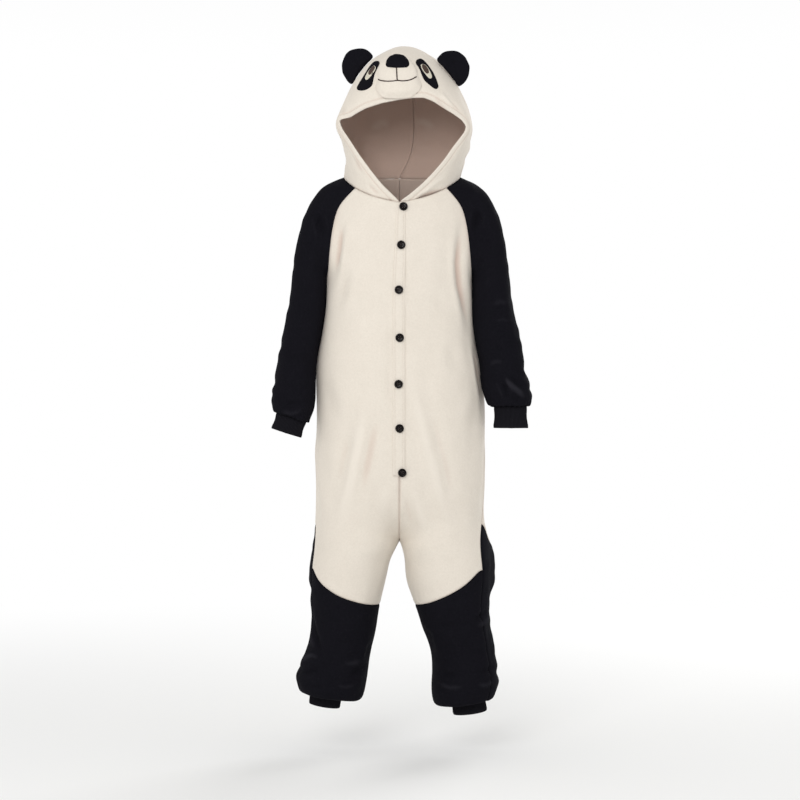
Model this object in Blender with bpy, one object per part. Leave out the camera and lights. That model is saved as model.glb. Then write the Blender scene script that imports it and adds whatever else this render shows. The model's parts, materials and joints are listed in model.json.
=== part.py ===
"""A child's panda costume: a hooded one-piece fleece suit, hollow and in its worn form.

Metres, +Z up. The front faces -Y and the wearer's left is +X. The origin is the middle of the neck
opening, at the height of the shoulders that hold the suit up. Every cloth piece is a wall whose outer
points are worked out from tables of sections, in millimetres. Pieces that are sewn together share the
points of their seam, and each one stops half a seam gap short of them.
"""

import math
from collections import namedtuple

import bmesh
import bpy
import numpy as np
from mathutils import Vector
from mathutils.bvhtree import BVHTree

MM = 0.001
RIGHT, LEFT = -1, 1

# Cloth, in millimetres
WALL = 2.4
CUFF_WALL = 2.8
HOOD_WALL = 2.1
FELT = 1.2
SEAM_GAP = 0.3
NECK_GAP = 0.9
ARMHOLE_GAP = 0.6
LAY_GAP = 0.8
PAD_GAP = 0.95
STAND_OFF = 1.6

# Landmarks of the suit, in millimetres
CENTRE_X = -1.0
MID_Y = 4.0
UNDERARM_Z = -205.0
HIP_Z = -600.0
CROTCH_Z = -734.0
# How square the torso's and the legs' sections are: 1 is an ellipse
TORSO_ROUND, LEG_ROUND = 0.88, 0.94
# How late the torso's section turns into the legs', from the hip to the crotch
HIP_BLEND = 2.6

# Numbers of cells along and around the pieces
BODY_COLUMNS = 8
YOKE_ROWS = 7
NECK_CELLS = 6
SHOULDER_ROWS = 6
SLEEVE_ROWS = 10
HOOD_CELLS = (2, 3, 4, 3)
HOOD_COLUMNS = sum(HOOD_CELLS)
HOOD_FRONT_ROWS = 8
HOOD_BACK_ROWS = 8

TorsoRow = namedtuple("TorsoRow", "z right left front back")
TORSO = [
    TorsoRow(40, -100, 108, -64, 76),
    TorsoRow(16, -116, 124, -76, 85),
    TorsoRow(-12, -129, 134, -88, 92),
    TorsoRow(-45, -146, 147, -99, 97),
    TorsoRow(-90, -155, 155, -106, 102),
    TorsoRow(-150, -156, 156, -112, 105),
    TorsoRow(-205, -150, 149, -117, 106),
    TorsoRow(-246, -152, 149, -119, 105),
    TorsoRow(-283, -158, 152, -120, 103),
    TorsoRow(-320, -165, 156, -121, 101),
    TorsoRow(-357, -171, 164, -122, 101),
    TorsoRow(-400, -173, 170, -123, 103),
    TorsoRow(-441, -171, 173, -124, 107),
    TorsoRow(-504, -171, 175, -124, 114),
    TorsoRow(-560, -176, 175, -122, 119),
    TorsoRow(-605, -172, 175, -119, 120),
    TorsoRow(-650, -173, 171, -115, 117),
    TorsoRow(-689, -174, 172, -110, 112),
    TorsoRow(-734, -177, 185, -104, 106),
]

LegRow = namedtuple("LegRow", "z outer inner front back")
LEGS = {
    RIGHT: [
        LegRow(-590, -172, CENTRE_X, -119, 120),
        LegRow(-689, -174, CENTRE_X, -110, 112),
        LegRow(-734, -178, CENTRE_X, -104, 105),
        LegRow(-763, -183, -17, -100, 100),
        LegRow(-800, -187, -25, -96, 95),
        LegRow(-836, -187, -35, -92, 89),
        LegRow(-873, -183, -43, -88, 83),
        LegRow(-910, -184, -47, -83, 80),
        LegRow(-947, -191, -57, -80, 81),
        LegRow(-965, -199, -61, -80, 84),
        LegRow(-984, -209, -63, -82, 88),
        LegRow(-1003, -217, -66, -84, 91),
        LegRow(-1021, -219, -69, -84, 92),
        LegRow(-1038, -211, -74, -79, 87),
    ],
    LEFT: [
        LegRow(-590, 175, CENTRE_X, -119, 120),
        LegRow(-689, 172, CENTRE_X, -110, 112),
        LegRow(-734, 185, CENTRE_X, -106, 105),
        LegRow(-763, 193, 8, -103, 100),
        LegRow(-800, 194, 10, -100, 95),
        LegRow(-836, 189, 21, -96, 89),
        LegRow(-873, 184, 34, -91, 83),
        LegRow(-910, 190, 45, -86, 79),
        LegRow(-947, 195, 61, -83, 78),
        LegRow(-984, 201, 65, -83, 80),
        LegRow(-1009, 206, 65, -86, 84),
        LegRow(-1033, 206, 62, -89, 87),
        LegRow(-1050, 198, 66, -84, 82),
    ],
}
HEM_Z = {RIGHT: -1038.0, LEFT: -1050.0}

RaglanRow = namedtuple("RaglanRow", "z x")
RAGLAN_FRONT = [
    RaglanRow(-12, 93),
    RaglanRow(-24, 108),
    RaglanRow(-37, 120),
    RaglanRow(-50, 127),
    RaglanRow(-65, 131),
    RaglanRow(-90, 136),
    RaglanRow(-120, 141),
    RaglanRow(-160, 146),
    RaglanRow(-190, 148),
]
RAGLAN_BACK = [
    RaglanRow(19, 94),
    RaglanRow(0, 105),
    RaglanRow(-20, 113),
    RaglanRow(-50, 121),
    RaglanRow(-90, 130),
    RaglanRow(-130, 138),
    RaglanRow(-170, 145),
    RaglanRow(-190, 147),
]

NeckRow = namedtuple("NeckRow", "turn z")
NECK = [
    NeckRow(0.0, -45),
    NeckRow(0.10, -33),
    NeckRow(0.24, -12),
    NeckRow(0.36, 5),
    NeckRow(0.50, 16),
    NeckRow(0.75, 19),
    NeckRow(1.0, 21),
]

SleeveRow = namedtuple("SleeveRow", "z inner outer front back")
SLEEVES = {
    RIGHT: [
        SleeveRow(-240, -161, -226, -60, 40),
        SleeveRow(-264, -163, -231, -63, 36),
        SleeveRow(-301, -168, -238, -68, 30),
        SleeveRow(-338, -175, -246, -74, 23),
        SleeveRow(-375, -179, -252, -80, 18),
        SleeveRow(-412, -179, -258, -86, 14),
        SleeveRow(-435, -178, -262, -88, 12),
        SleeveRow(-455, -176, -263, -88, 10),
        SleeveRow(-471, -178, -258, -84, 5),
    ],
    LEFT: [
        SleeveRow(-240, 157, 229, -60, 40),
        SleeveRow(-264, 157, 234, -64, 36),
        SleeveRow(-301, 161, 243, -70, 30),
        SleeveRow(-338, 167, 251, -76, 24),
        SleeveRow(-375, 175, 254, -80, 19),
        SleeveRow(-394, 174, 260, -83, 17),
        SleeveRow(-412, 174, 266, -86, 15),
        SleeveRow(-431, 174, 270, -88, 12),
        SleeveRow(-447, 177, 267, -86, 8),
    ],
}

# How the sleeve leaves its seam at the underarm and at the shoulder, and how it comes down to the arm
UNDERARM_OUT, CAP_OUT, CAP_DOWN, CAP_IN, CAP_FULLNESS = 15.0, 78.0, 150.0, 10.0, 1.2
SLEEVE_FALL, ONWARD, ONWARD_FROM, ONWARD_TO = -0.10, 0.7, 0.25, 0.85

# The end of a sleeve or leg turns in under itself to the cuff: drop below the hem row, share of the way in
CurlRow = namedtuple("CurlRow", "drop share")
CURL = [CurlRow(9, 0.22), CurlRow(12, 0.60), CurlRow(8, 1.0)]
# How far in it has to go, at least, to turn in to its full depth
FULL_TUCK = 22.0

# A cuff's tilt is its rise for each millimetre across, and its slide how far across its hem lies
Cuff = namedtuple("Cuff", "x y half_width half_depth top_z length tilt slide flare")
WRISTS = {
    RIGHT: Cuff(-220, -42, 31, 28, -475, 33, -0.32, -11, 0.97),
    LEFT: Cuff(224, -42, 34, 29, -453, 45, 0.0, 1, 1.03),
}
ANKLES = {
    RIGHT: Cuff(-152, 2, 37, 40, -1043, 24, -0.16, -3, 0.96),
    LEFT: Cuff(140, 0, 37, 41, -1053, 27, 0.13, 4, 1.05),
}
# The last stretch of a sleeve or leg tilts with its cuff
TILT_LENGTH = 50.0

# Rows of the body pieces, from key line to key line: cells, then heights at the centre front or inseam,
# at the side seam, and at the centre back
KeyLine = namedtuple("KeyLine", "name cells front side back")
KEY_LINES = [
    KeyLine("underarm", 0, -205, UNDERARM_Z, -195),
    KeyLine("crotch", 15, CROTCH_Z, -640, CROTCH_Z),
    KeyLine("back_leg_seam", 3, -790, -680, -790),
    KeyLine("knee_seam", 3, -858, -776, -858),
    KeyLine("hem", 8, 0, 0, 0),
]
SEAM_CURVE = 2.6
# How far forward of the leg's side the side seam runs, as a share of the way around
SIDE_SEAM_FORWARD = {RIGHT: 0.045, LEFT: 0.125}
SIDE_SEAM_TOP, SIDE_SEAM_LOW = -635.0, -740.0

ARC_STEPS = 25
HOOD_PLACES = ("low", "wide", "high")
HoodRow = namedtuple(
    "HoodRow",
    "share neck apex_y apex_z high_x high_y high_z wide_x wide_y wide_z low_x low_y low_z",
)
HOOD = [
    HoodRow(0.00, 0.00, -128, 154, 64, -117, 148, 127, -84, 112, 72, -107, 30),
    HoodRow(0.10, 0.10, -133, 176, 68, -120, 169, 134, -76, 114, 88, -100, 33),
    HoodRow(0.24, 0.22, -112, 238, 76, -92, 206, 139, -62, 118, 108, -80, 48),
    HoodRow(0.40, 0.42, -40, 281, 82, -32, 240, 138, -22, 118, 124, -26, 62),
    HoodRow(0.58, 0.56, 40, 276, 76, 38, 236, 128, 34, 118, 121, 26, 60),
    HoodRow(0.75, 0.64, 97, 222, 64, 86, 196, 112, 70, 112, 112, 56, 54),
    HoodRow(0.88, 0.69, 114, 140, 52, 107, 126, 94, 88, 84, 102, 74, 44),
    HoodRow(0.96, 0.735, 103, 78, 42, 99, 74, 76, 88, 58, 92, 78, 38),
]
# The brim hangs lower on the wearer's right, by this much at its edge and not at all further back
BRIM_DROP, BRIM_DROP_SHARE = 11.0, 0.24
NAPE_NECK = 0.76
EAR_ARC_SHARE = 0.40

# The hood sits a little askew: it is turned to the wearer's right, and shifted to the left
HOOD_YAW = math.radians(8.0)
HOOD_YAW_Y = -20.0
SwayRow = namedtuple("SwayRow", "z turn shift")
SWAY = [
    SwayRow(-20, 0.0, 0),
    SwayRow(22, 0.15, 3),
    SwayRow(50, 0.6, 13),
    SwayRow(90, 1.0, 13),
    SwayRow(130, 1.0, 11),
    SwayRow(180, 1.0, 10),
    SwayRow(283, 1.0, 12),
]
# The ear seam is pulled forward on the wearer's left
EAR_PULL, EAR_PULL_AT, EAR_PULL_REACH = 0.065, 0.667, 0.26
HOOD_ARCS = 49

# The face on the hood, seen from the front: distances from its own middle line
FACE_X = -7.6
FaceRow = namedtuple("FaceRow", "z inner outer")
EYE_PATCHES = {
    RIGHT: [
        FaceRow(240, 36.5, 41),
        FaceRow(235, 35.5, 46),
        FaceRow(227, 37.5, 53.5),
        FaceRow(215, 43, 62.5),
        FaceRow(203, 48.5, 70),
        FaceRow(191, 51.5, 76.5),
        FaceRow(183, 57, 80),
        FaceRow(179, 66, 79),
    ],
    LEFT: [
        FaceRow(241, 43, 52),
        FaceRow(235, 38, 58),
        FaceRow(227, 41, 64.5),
        FaceRow(215, 46.5, 71.5),
        FaceRow(203, 51, 78),
        FaceRow(191, 60, 82),
        FaceRow(183, 71, 81.5),
        FaceRow(180, 76, 80),
    ],
}
SideRow = namedtuple("SideRow", "z right_x left_x")
WidthRow = namedtuple("WidthRow", "z half_width")
MUZZLE = [
    WidthRow(252, 12),
    WidthRow(247, 21),
    WidthRow(238, 27),
    WidthRow(228, 33),
    WidthRow(215, 41),
    WidthRow(203, 45),
    WidthRow(190, 44),
    WidthRow(178, 37),
    WidthRow(170, 23),
]
NOSE = [
    WidthRow(247, 8),
    WidthRow(244, 15),
    WidthRow(238, 21.5),
    WidthRow(231, 24.5),
    WidthRow(225, 24),
    WidthRow(221, 18),
]
MUZZLE_RIM, MUZZLE_PAD = 1.2, 12.5
NOSE_RIM, NOSE_PAD = 1.2, 6.5
# How steeply a padded piece rises from its rim, and the cloth of its back under it
PAD_RISE, BACK_RISE = 0.6, 0.5
# Cells down and across each piece of the face
MUZZLE_CELLS, NOSE_CELLS, PATCH_CELLS = (14, 10), (7, 8), (11, 4)

# An ear's middle lies out from its seam, and up along it
Ear = namedtuple("Ear", "low_z high_z radius out up")
EARS = {RIGHT: Ear(201, 257, 37.0, 13.0, 4.5), LEFT: Ear(190, 246, 38.5, 13.5, 0.0)}
EAR_RIM, EAR_PAD = 1.3, 9.0
# How quickly an ear's outline leaves its seam for its round
EAR_CORNER = 5
EAR_RINGS, EAR_ARC_CELLS, EAR_BASE_CELLS = 4, 17, 6

# The button strip lies over the opening, with its fold on the wearer's right
PlacketRow = namedtuple("PlacketRow", "z fold stitched")
PLACKET = [
    PlacketRow(-40, -6, 12),
    PlacketRow(-130, -9, 12),
    PlacketRow(-210, -13, 11),
    PlacketRow(-607, -13, 11),
]
PLACKET_THICK = 2.2
BUTTON_WIDTH, BUTTON_THICK, BUTTON_RIM, BUTTON_DISH = 17.0, 3.2, 2.2, 0.9
# Where a button's edge starts to round over, and how far in its rim's two edges lie
BUTTON_EDGE, BUTTON_ROUND, BUTTON_SLOPE = 1.9, 0.7, 0.8
BUTTON_SIDES = 20
Place = namedtuple("Place", "x z")
BUTTONS = [
    Place(5, -52),
    Place(0, -126),
    Place(-4, -216),
    Place(-2.5, -313),
    Place(-5, -408),
    Place(-3, -498),
    Place(2.5, -588),
]

# Lines from in front of the suit find where a piece lies on it
RAY_START_Y = -500.0
SHARP_ANGLE = math.radians(40)


def column(table, name):
    """One named column of a table."""
    return [getattr(row, name) for row in table]


def smooth(xs, ys, x):
    """A smooth curve through the points of a table, with no overshoot between them."""
    if xs[0] > xs[-1]:
        xs, ys = xs[::-1], ys[::-1]
    if x <= xs[0]:
        return ys[0]
    if x >= xs[-1]:
        return ys[-1]
    slopes = [(ys[i + 1] - ys[i]) / (xs[i + 1] - xs[i]) for i in range(len(xs) - 1)]

    def tangent(i):
        if i in (0, len(xs) - 1):
            return slopes[min(i, len(slopes) - 1)]
        before, after = slopes[i - 1], slopes[i]
        return 0.0 if before * after <= 0 else 2 * before * after / (before + after)

    i = max(k for k in range(len(xs) - 1) if xs[k] <= x)
    width = xs[i + 1] - xs[i]
    t = (x - xs[i]) / width
    return (
        ys[i] * (1 + 2 * t) * (1 - t) ** 2
        + tangent(i) * width * t * (1 - t) ** 2
        + ys[i + 1] * t * t * (3 - 2 * t)
        - tangent(i + 1) * width * t * t * (1 - t)
    )


def read(table, key, value):
    """A table's row at any value of its key column, as a dict of the other columns."""
    keys = column(table, key)
    return {
        name: smooth(keys, column(table, name), value) for name in table[0]._fields if name != key
    }


def smoothstep(low, high, value):
    t = min(1.0, max(0.0, (value - low) / (high - low)))
    return t * t * (3 - 2 * t)


def rounded(value, roundness):
    """A sine or cosine bent towards a squarer section."""
    return math.copysign(abs(value) ** roundness, value)


def torso_point(side, z, turn):
    """A point of the torso's half section: turn 0 is the centre front, 1 the centre back."""
    row = read(TORSO, "z", z)
    reach = row["left"] - CENTRE_X if side == LEFT else CENTRE_X - row["right"]
    angle = math.pi * turn
    across = rounded(math.sin(angle), TORSO_ROUND) if 0 < turn < 1 else 0.0
    ahead = rounded(math.cos(angle), TORSO_ROUND)
    depth = MID_Y - row["front"] if ahead > 0 else row["back"] - MID_Y
    return np.array([CENTRE_X + side * reach * across, MID_Y - depth * ahead, z])


def leg_point(side, z, turn):
    """A point of the leg's section: turn 0 and 1 are the inseam, and the front comes before the back."""
    row = read(LEGS[side], "z", z)
    centre, half = (row["outer"] + row["inner"]) / 2, (row["outer"] - row["inner"]) / 2
    angle = 2 * math.pi * turn
    across, ahead = rounded(math.cos(angle), LEG_ROUND), rounded(math.sin(angle), LEG_ROUND)
    depth = MID_Y - row["front"] if ahead > 0 else row["back"] - MID_Y
    return np.array([centre - half * across, MID_Y - depth * ahead, z])


def body_point(side, z, turn):
    """A point of the suit below the yoke, where the torso divides into two legs at the crotch."""
    if z >= HIP_Z:
        return torso_point(side, z, turn)
    share = min(1.0, (HIP_Z - z) / (HIP_Z - CROTCH_Z)) ** HIP_BLEND
    if share >= 1:
        return leg_point(side, z, turn)
    return (1 - share) * torso_point(side, z, turn) + share * leg_point(side, z, turn)


def side_turn(side, z):
    """The side seam runs down the side of the torso, and forward of the side on the legs."""
    return 0.5 - SIDE_SEAM_FORWARD[side] * smoothstep(-SIDE_SEAM_TOP, -SIDE_SEAM_LOW, -z)


def torso_turn_at(x, z):
    """The turn of the torso's section, before its side, at which it is this far across."""
    reach = read(TORSO, "z", z)["left"] - CENTRE_X
    return math.asin(min(1.0, (x / reach)) ** (1 / TORSO_ROUND)) / math.pi


def ring_of(cuff, side, turn, down):
    """A point of a cuff: down 0 is its seam, 1 its hem."""
    angle = 2 * math.pi * turn
    grow = 1 + (cuff.flare - 1) * down
    x = -side * math.cos(angle) * cuff.half_width * grow
    y = -math.sin(angle) * cuff.half_depth * grow
    z = cuff.top_z - cuff.length * down + cuff.tilt * x
    return np.array([cuff.x + cuff.slide * down + x, cuff.y + y, z])


def tilted(point, cuff, hem_z):
    """A point of a sleeve or leg, tilted with its cuff where it nears it."""
    share = smoothstep(0, TILT_LENGTH, hem_z + TILT_LENGTH - point[2])
    return point + np.array([0, 0, cuff.tilt * (point[0] - cuff.x) * share])


def tucked(point, cuff, curl):
    """A point between a hem and its cuff, where the cloth turns in under itself."""
    depth = curl.drop * min(1.0, np.linalg.norm(cuff - point) / FULL_TUCK)
    return (1 - curl.share) * point + curl.share * cuff - np.array([0, 0, depth * (1 - curl.share)])


def raglan_tops():
    """The turns of the neck seam at which the front and back raglan seams start."""
    front, back = RAGLAN_FRONT[0], RAGLAN_BACK[0]
    return torso_turn_at(front.x, front.z), 1 - torso_turn_at(back.x, back.z)


def yoke_point(side, step, across, back):
    """A point of the front or back piece above the underarm: step 0 is the neck, 1 the underarm."""
    raglan = RAGLAN_BACK if back else RAGLAN_FRONT
    top_turn = raglan_tops()[1 if back else 0]
    inner_turn = 1.0 if back else 0.0
    key = KEY_LINES[0]
    inner_z = key.back if back else key.front
    low_z = inner_z + (key.side - inner_z) * across
    neck_turn = inner_turn + (top_turn - inner_turn) * across
    z = (1 - step) * smooth(column(NECK, "turn"), column(NECK, "z"), neck_turn) + step * low_z
    edge_z = (1 - step) * raglan[0].z + step * UNDERARM_Z
    if step >= 1:
        edge_turn = 0.5
    else:
        edge_turn = torso_turn_at(smooth(column(raglan, "z"), column(raglan, "x"), edge_z), edge_z)
        edge_turn = 1 - edge_turn if back else edge_turn
    return torso_point(side, z, inner_turn + (edge_turn - inner_turn) * across)


def row_heights(side, back):
    """The heights of a body piece's rows below the underarm, at its inner edge and at its side seam."""
    rows = [(KEY_LINES[0].back if back else KEY_LINES[0].front, KEY_LINES[0].side)]
    for above, key in zip(KEY_LINES, KEY_LINES[1:]):
        start, stop = ((k.back if back else k.front, k.side) for k in (above, key))
        if key.name == "hem":
            stop = (HEM_Z[side], HEM_Z[side])
        rows += [
            tuple(a + (b - a) * n / key.cells for a, b in zip(start, stop))
            for n in range(1, key.cells + 1)
        ]
    return rows


def body_grid(side, back):
    """All points of one front or back quarter, from the neck to the ankle cuff, in rows from the inner edge."""
    shares = [j / BODY_COLUMNS for j in range(BODY_COLUMNS + 1)]
    grid = [[yoke_point(side, i / YOKE_ROWS, t, back) for t in shares] for i in range(YOKE_ROWS)]
    for inner_z, side_z in row_heights(side, back):
        row = []
        for t in shares:
            z = inner_z + (side_z - inner_z) * t**SEAM_CURVE
            seam = side_turn(side, z)
            point = body_point(side, z, 1 - (1 - seam) * t if back else seam * t)
            row.append(tilted(point, ANKLES[side], HEM_Z[side]))
        grid.append(row)
    hem = grid[-1]
    for curl in CURL:
        row = []
        for t, point in zip(shares, hem):
            seam = side_turn(side, HEM_Z[side])
            cuff = ring_of(ANKLES[side], side, 1 - (1 - seam) * t if back else seam * t, 0)
            row.append(tucked(point, cuff, curl))
        grid.append(row)
    return np.array(grid)


def key_row(name):
    """The index of a key line's row in a body grid."""
    names = [key.name for key in KEY_LINES]
    return YOKE_ROWS + sum(key.cells for key in KEY_LINES[1 : names.index(name) + 1])


def neck_point(side, turn):
    """A point of the neck seam: turn 0 is the centre front, 1 the centre back."""
    return torso_point(side, smooth(column(NECK, "turn"), column(NECK, "z"), turn), turn)


def armhole(side, front, back):
    """The seam around a sleeve's top: from the underarm up the front, across the neck, down the back.

    Each point comes with the way that the sleeve's cloth leaves it.
    """
    front_turn, back_turn = raglan_tops()
    outward = np.array([side * 1.0, 0.0, SLEEVE_FALL])
    seam, ways = [], []
    parts = ((front, range(YOKE_ROWS, -1, -1)), (None, range(1, NECK_CELLS)), (back, range(YOKE_ROWS)))
    for grid, rows in parts:
        for i in rows:
            if grid is None:
                seam.append(neck_point(side, front_turn + (back_turn - front_turn) * i / NECK_CELLS))
                ways.append(outward)
                continue
            # The sleeve carries on from the body's cloth, and more and more straight out near the underarm
            onward = grid[i][-1] - grid[i][-2]
            share = ONWARD * smoothstep(ONWARD_FROM, ONWARD_TO, 1 - i / YOKE_ROWS)
            way = share * onward / np.linalg.norm(onward) + (1 - share) * outward
            seam.append(grid[i][-1])
            ways.append(way / np.linalg.norm(way))
    return np.array(seam), np.array(ways)


def sleeve_point(side, z, turn):
    """A point of a sleeve's section: turn 0 is its inner side, and the front comes before the back."""
    row = read(SLEEVES[side], "z", z)
    centre, half = (row["outer"] + row["inner"]) / 2, abs(row["outer"] - row["inner"]) / 2
    mid, depth = (row["front"] + row["back"]) / 2, (row["back"] - row["front"]) / 2
    angle = 2 * math.pi * turn
    return np.array([centre - side * half * math.cos(angle), mid - depth * math.sin(angle), z])


def bezier(a, b, c, d, t):
    return a * (1 - t) ** 3 + b * 3 * t * (1 - t) ** 2 + c * 3 * t * t * (1 - t) + d * t**3


def sleeve_grid(side, seam, ways):
    """All points of a sleeve, from its armhole seam over the shoulder cap to the cuff, in closed rings."""
    count = len(seam)
    turns = [k / count for k in range(count)]
    top_z = SLEEVES[side][0].z
    grid = [seam]
    for n in range(1, SHOULDER_ROWS + 1):
        ring = []
        for start, way, turn in zip(seam, ways, turns):
            end = sleeve_point(side, top_z, turn)
            outside = (1 - math.cos(2 * math.pi * turn)) / 2
            leave = start + way * (UNDERARM_OUT + (CAP_OUT - UNDERARM_OUT) * outside)
            rise = UNDERARM_OUT + (CAP_DOWN - UNDERARM_OUT) * outside**CAP_FULLNESS
            arrive = end + np.array([-side * CAP_IN * outside, 0, rise])
            ring.append(bezier(start, leave, arrive, end, n / SHOULDER_ROWS))
        grid.append(np.array(ring))
    low_z = SLEEVES[side][-1].z
    for n in range(1, SLEEVE_ROWS + 1):
        z = top_z + (low_z - top_z) * n / SLEEVE_ROWS
        ring = [tilted(sleeve_point(side, z, turn), WRISTS[side], low_z) for turn in turns]
        grid.append(np.array(ring))
    hem = grid[-1]
    for curl in CURL:
        ring = []
        for point, turn in zip(hem, turns):
            ring.append(tucked(point, ring_of(WRISTS[side], side, turn, 0), curl))
        grid.append(np.array(ring))
    return np.array(grid)


def cuff_grid(cuff, side, turns, rows=3):
    """A cuff's points, in closed rings from its seam to its hem."""
    return np.array([[ring_of(cuff, side, turn, i / rows) for turn in turns] for i in range(rows + 1)])


def sway(point):
    """A point of the hood as it sits, turned and shifted more the higher it is."""
    at = read(SWAY, "z", point[2])
    angle = HOOD_YAW * at["turn"]
    x, y = point[0], point[1] - HOOD_YAW_Y
    turned_x = x * math.cos(angle) + y * math.sin(angle)
    turned_y = y * math.cos(angle) - x * math.sin(angle)
    return np.array([turned_x + at["shift"], turned_y + HOOD_YAW_Y, point[2]])


def arc_through(points, cells):
    """Points along a smooth curve through a few points, with a number of even cells in each stretch."""
    points = np.array(points)
    steps = np.linalg.norm(np.diff(points, axis=0), axis=1)
    along = np.concatenate([[0], np.cumsum(np.sqrt(steps))])
    tangents = np.gradient(points, along, axis=0)
    s = np.linspace(0, 1, ARC_STEPS)[:, None]
    places = [points[:1]]
    for i, count in enumerate(cells):
        width = along[i + 1] - along[i]
        fine = (
            points[i] * (1 + 2 * s) * (1 - s) ** 2
            + tangents[i] * width * s * (1 - s) ** 2
            + points[i + 1] * s * s * (3 - 2 * s)
            - tangents[i + 1] * width * s * s * (1 - s)
        )
        run = np.concatenate([[0], np.cumsum(np.linalg.norm(np.diff(fine, axis=0), axis=1))])
        at = np.linspace(0, run[-1], count + 1)[1:]
        places.append(np.stack([np.interp(at, run, fine[:, k]) for k in range(3)], axis=1))
    return np.concatenate(places)


def neck_lines(fronts, seams, backs):
    """The body's neck seam on each side, as turns and points, for the hood to stand on."""
    lines = {}
    for side in (RIGHT, LEFT):
        over = seams[side][YOKE_ROWS + 1 : YOKE_ROWS + NECK_CELLS]
        points = np.array(list(fronts[side][0]) + list(over) + list(backs[side][0][::-1]))
        front_turn, back_turn = raglan_tops()
        turns = np.concatenate(
            [
                np.linspace(0, front_turn, BODY_COLUMNS + 1),
                np.linspace(front_turn, back_turn, NECK_CELLS + 1)[1:-1],
                np.linspace(back_turn, 1, BODY_COLUMNS + 1),
            ]
        )
        lines[side] = (turns, points)
    return lines


def on_neck(line, turn):
    """A point of the hood's lower edge, clear of the body's neck seam by the neck gap."""
    turns, points = line
    place = np.array([np.interp(turn, turns, points[:, k]) for k in range(3)])
    return place + np.array([0, 0, NECK_GAP])


def hood_arc(share, lines):
    """The hood's arc over the head, from the wearer's right neck seam to the left: share 0 is the face edge."""
    row = read(HOOD, "share", share)
    halves = []
    for side in (RIGHT, LEFT):
        rising = [np.array([side * row[p + "_x"], row[p + "_y"], row[p + "_z"]]) for p in HOOD_PLACES]
        if side == RIGHT:
            rising[-1][2] -= BRIM_DROP * max(0.0, 1 - share / BRIM_DROP_SHARE)
        halves.append([on_neck(lines[side], row["neck"])] + [sway(p) for p in rising])
    apex = sway(np.array([0.0, row["apex_y"], row["apex_z"]]))
    return arc_through(halves[0] + [apex] + halves[1][::-1], HOOD_CELLS + HOOD_CELLS[::-1])


def nape_arc(lines):
    """The back of the neck seam, where the hood's last arc lies."""
    count = HOOD_COLUMNS
    right = [on_neck(lines[RIGHT], NAPE_NECK + (1 - NAPE_NECK) * n / count) for n in range(count + 1)]
    left = [on_neck(lines[LEFT], NAPE_NECK + (1 - NAPE_NECK) * n / count) for n in range(count)]
    return np.array(right + left[::-1])


def hood_grid(lines):
    """All points of the hood: rows are arcs from the face edge to the nape."""
    front = [EAR_ARC_SHARE * n / HOOD_FRONT_ROWS for n in range(HOOD_FRONT_ROWS)]
    last = HOOD[-1].share
    back = [
        EAR_ARC_SHARE + (last - EAR_ARC_SHARE) * n / (HOOD_BACK_ROWS - 1) for n in range(HOOD_BACK_ROWS)
    ]
    shares = np.linspace(0, last, HOOD_ARCS)
    arcs = np.array([hood_arc(share, lines) for share in shares])
    rows = []
    for share in front + back:
        free = share / EAR_ARC_SHARE if share < EAR_ARC_SHARE else (last - share) / (last - EAR_ARC_SHARE)
        row = []
        for k in range(arcs.shape[1]):
            away = abs(k / (arcs.shape[1] - 1) - EAR_PULL_AT) / EAR_PULL_REACH
            pull = EAR_PULL * free * math.cos(math.pi / 2 * min(1.0, away)) ** 2
            row.append([np.interp(share - pull, shares, arcs[:, k, axis]) for axis in range(3)])
        rows.append(row)
    return np.array(rows + [list(nape_arc(lines))])


def cell_normals(grid, closed, flip):
    """Each cell's unit normal, from its diagonals."""
    ring = np.concatenate([grid, grid[:, :1]], axis=1) if closed else grid
    a, b, c, d = ring[:-1, :-1], ring[:-1, 1:], ring[1:, 1:], ring[1:, :-1]
    normals = np.cross(c - a, d - b)
    normals /= np.maximum(np.linalg.norm(normals, axis=-1, keepdims=True), 1e-9)
    return -normals if flip else normals


def shared_normals(pieces):
    """The normal at each point of a set of grids, as a dict by rounded place, the same on both sides of a seam."""
    sums = {}
    for grid, closed, flip in pieces:
        cells = cell_normals(grid, closed, flip)
        columns = grid.shape[1]
        for i in range(cells.shape[0]):
            for j in range(cells.shape[1]):
                for di, dj in ((0, 0), (0, 1), (1, 0), (1, 1)):
                    place = spot(grid[i + di][(j + dj) % columns])
                    sums[place] = sums.get(place, np.zeros(3)) + cells[i, j]
    return {place: total / (np.linalg.norm(total) or 1.0) for place, total in sums.items()}


def spot(point):
    return tuple(int(round(v * 100)) for v in point)


def pulled_in(grid, closed, gap):
    """The grid with its edges moved in by half the seam gap."""
    moved = grid.astype(float).copy()

    def towards(points, inner):
        step = inner - points
        return step / np.maximum(np.linalg.norm(step, axis=-1, keepdims=True), 1e-9) * gap / 2

    moved[0] += towards(grid[0], grid[1])
    moved[-1] += towards(grid[-1], grid[-2])
    if not closed:
        moved[:, 0] += towards(grid[:, 0], grid[:, 1])
        moved[:, -1] += towards(grid[:, -1], grid[:, -2])
    return moved


def material(name, colour, roughness, metallic=0.0):
    found = bpy.data.materials.get(name)
    if found:
        return found
    made = bpy.data.materials.new(name)
    made.use_nodes = True
    shader = made.node_tree.nodes["Principled BSDF"]
    shader.inputs["Base Color"].default_value = (*colour, 1.0)
    shader.inputs["Roughness"].default_value = roughness
    shader.inputs["Metallic"].default_value = metallic
    return made


def cream_fleece():
    return material("cream_fleece", (0.80, 0.74, 0.66), 0.95)


def black_fleece():
    return material("black_fleece", (0.012, 0.012, 0.016), 0.95)


def black_plastic():
    return material("black_plastic", (0.015, 0.012, 0.012), 0.35)


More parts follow.
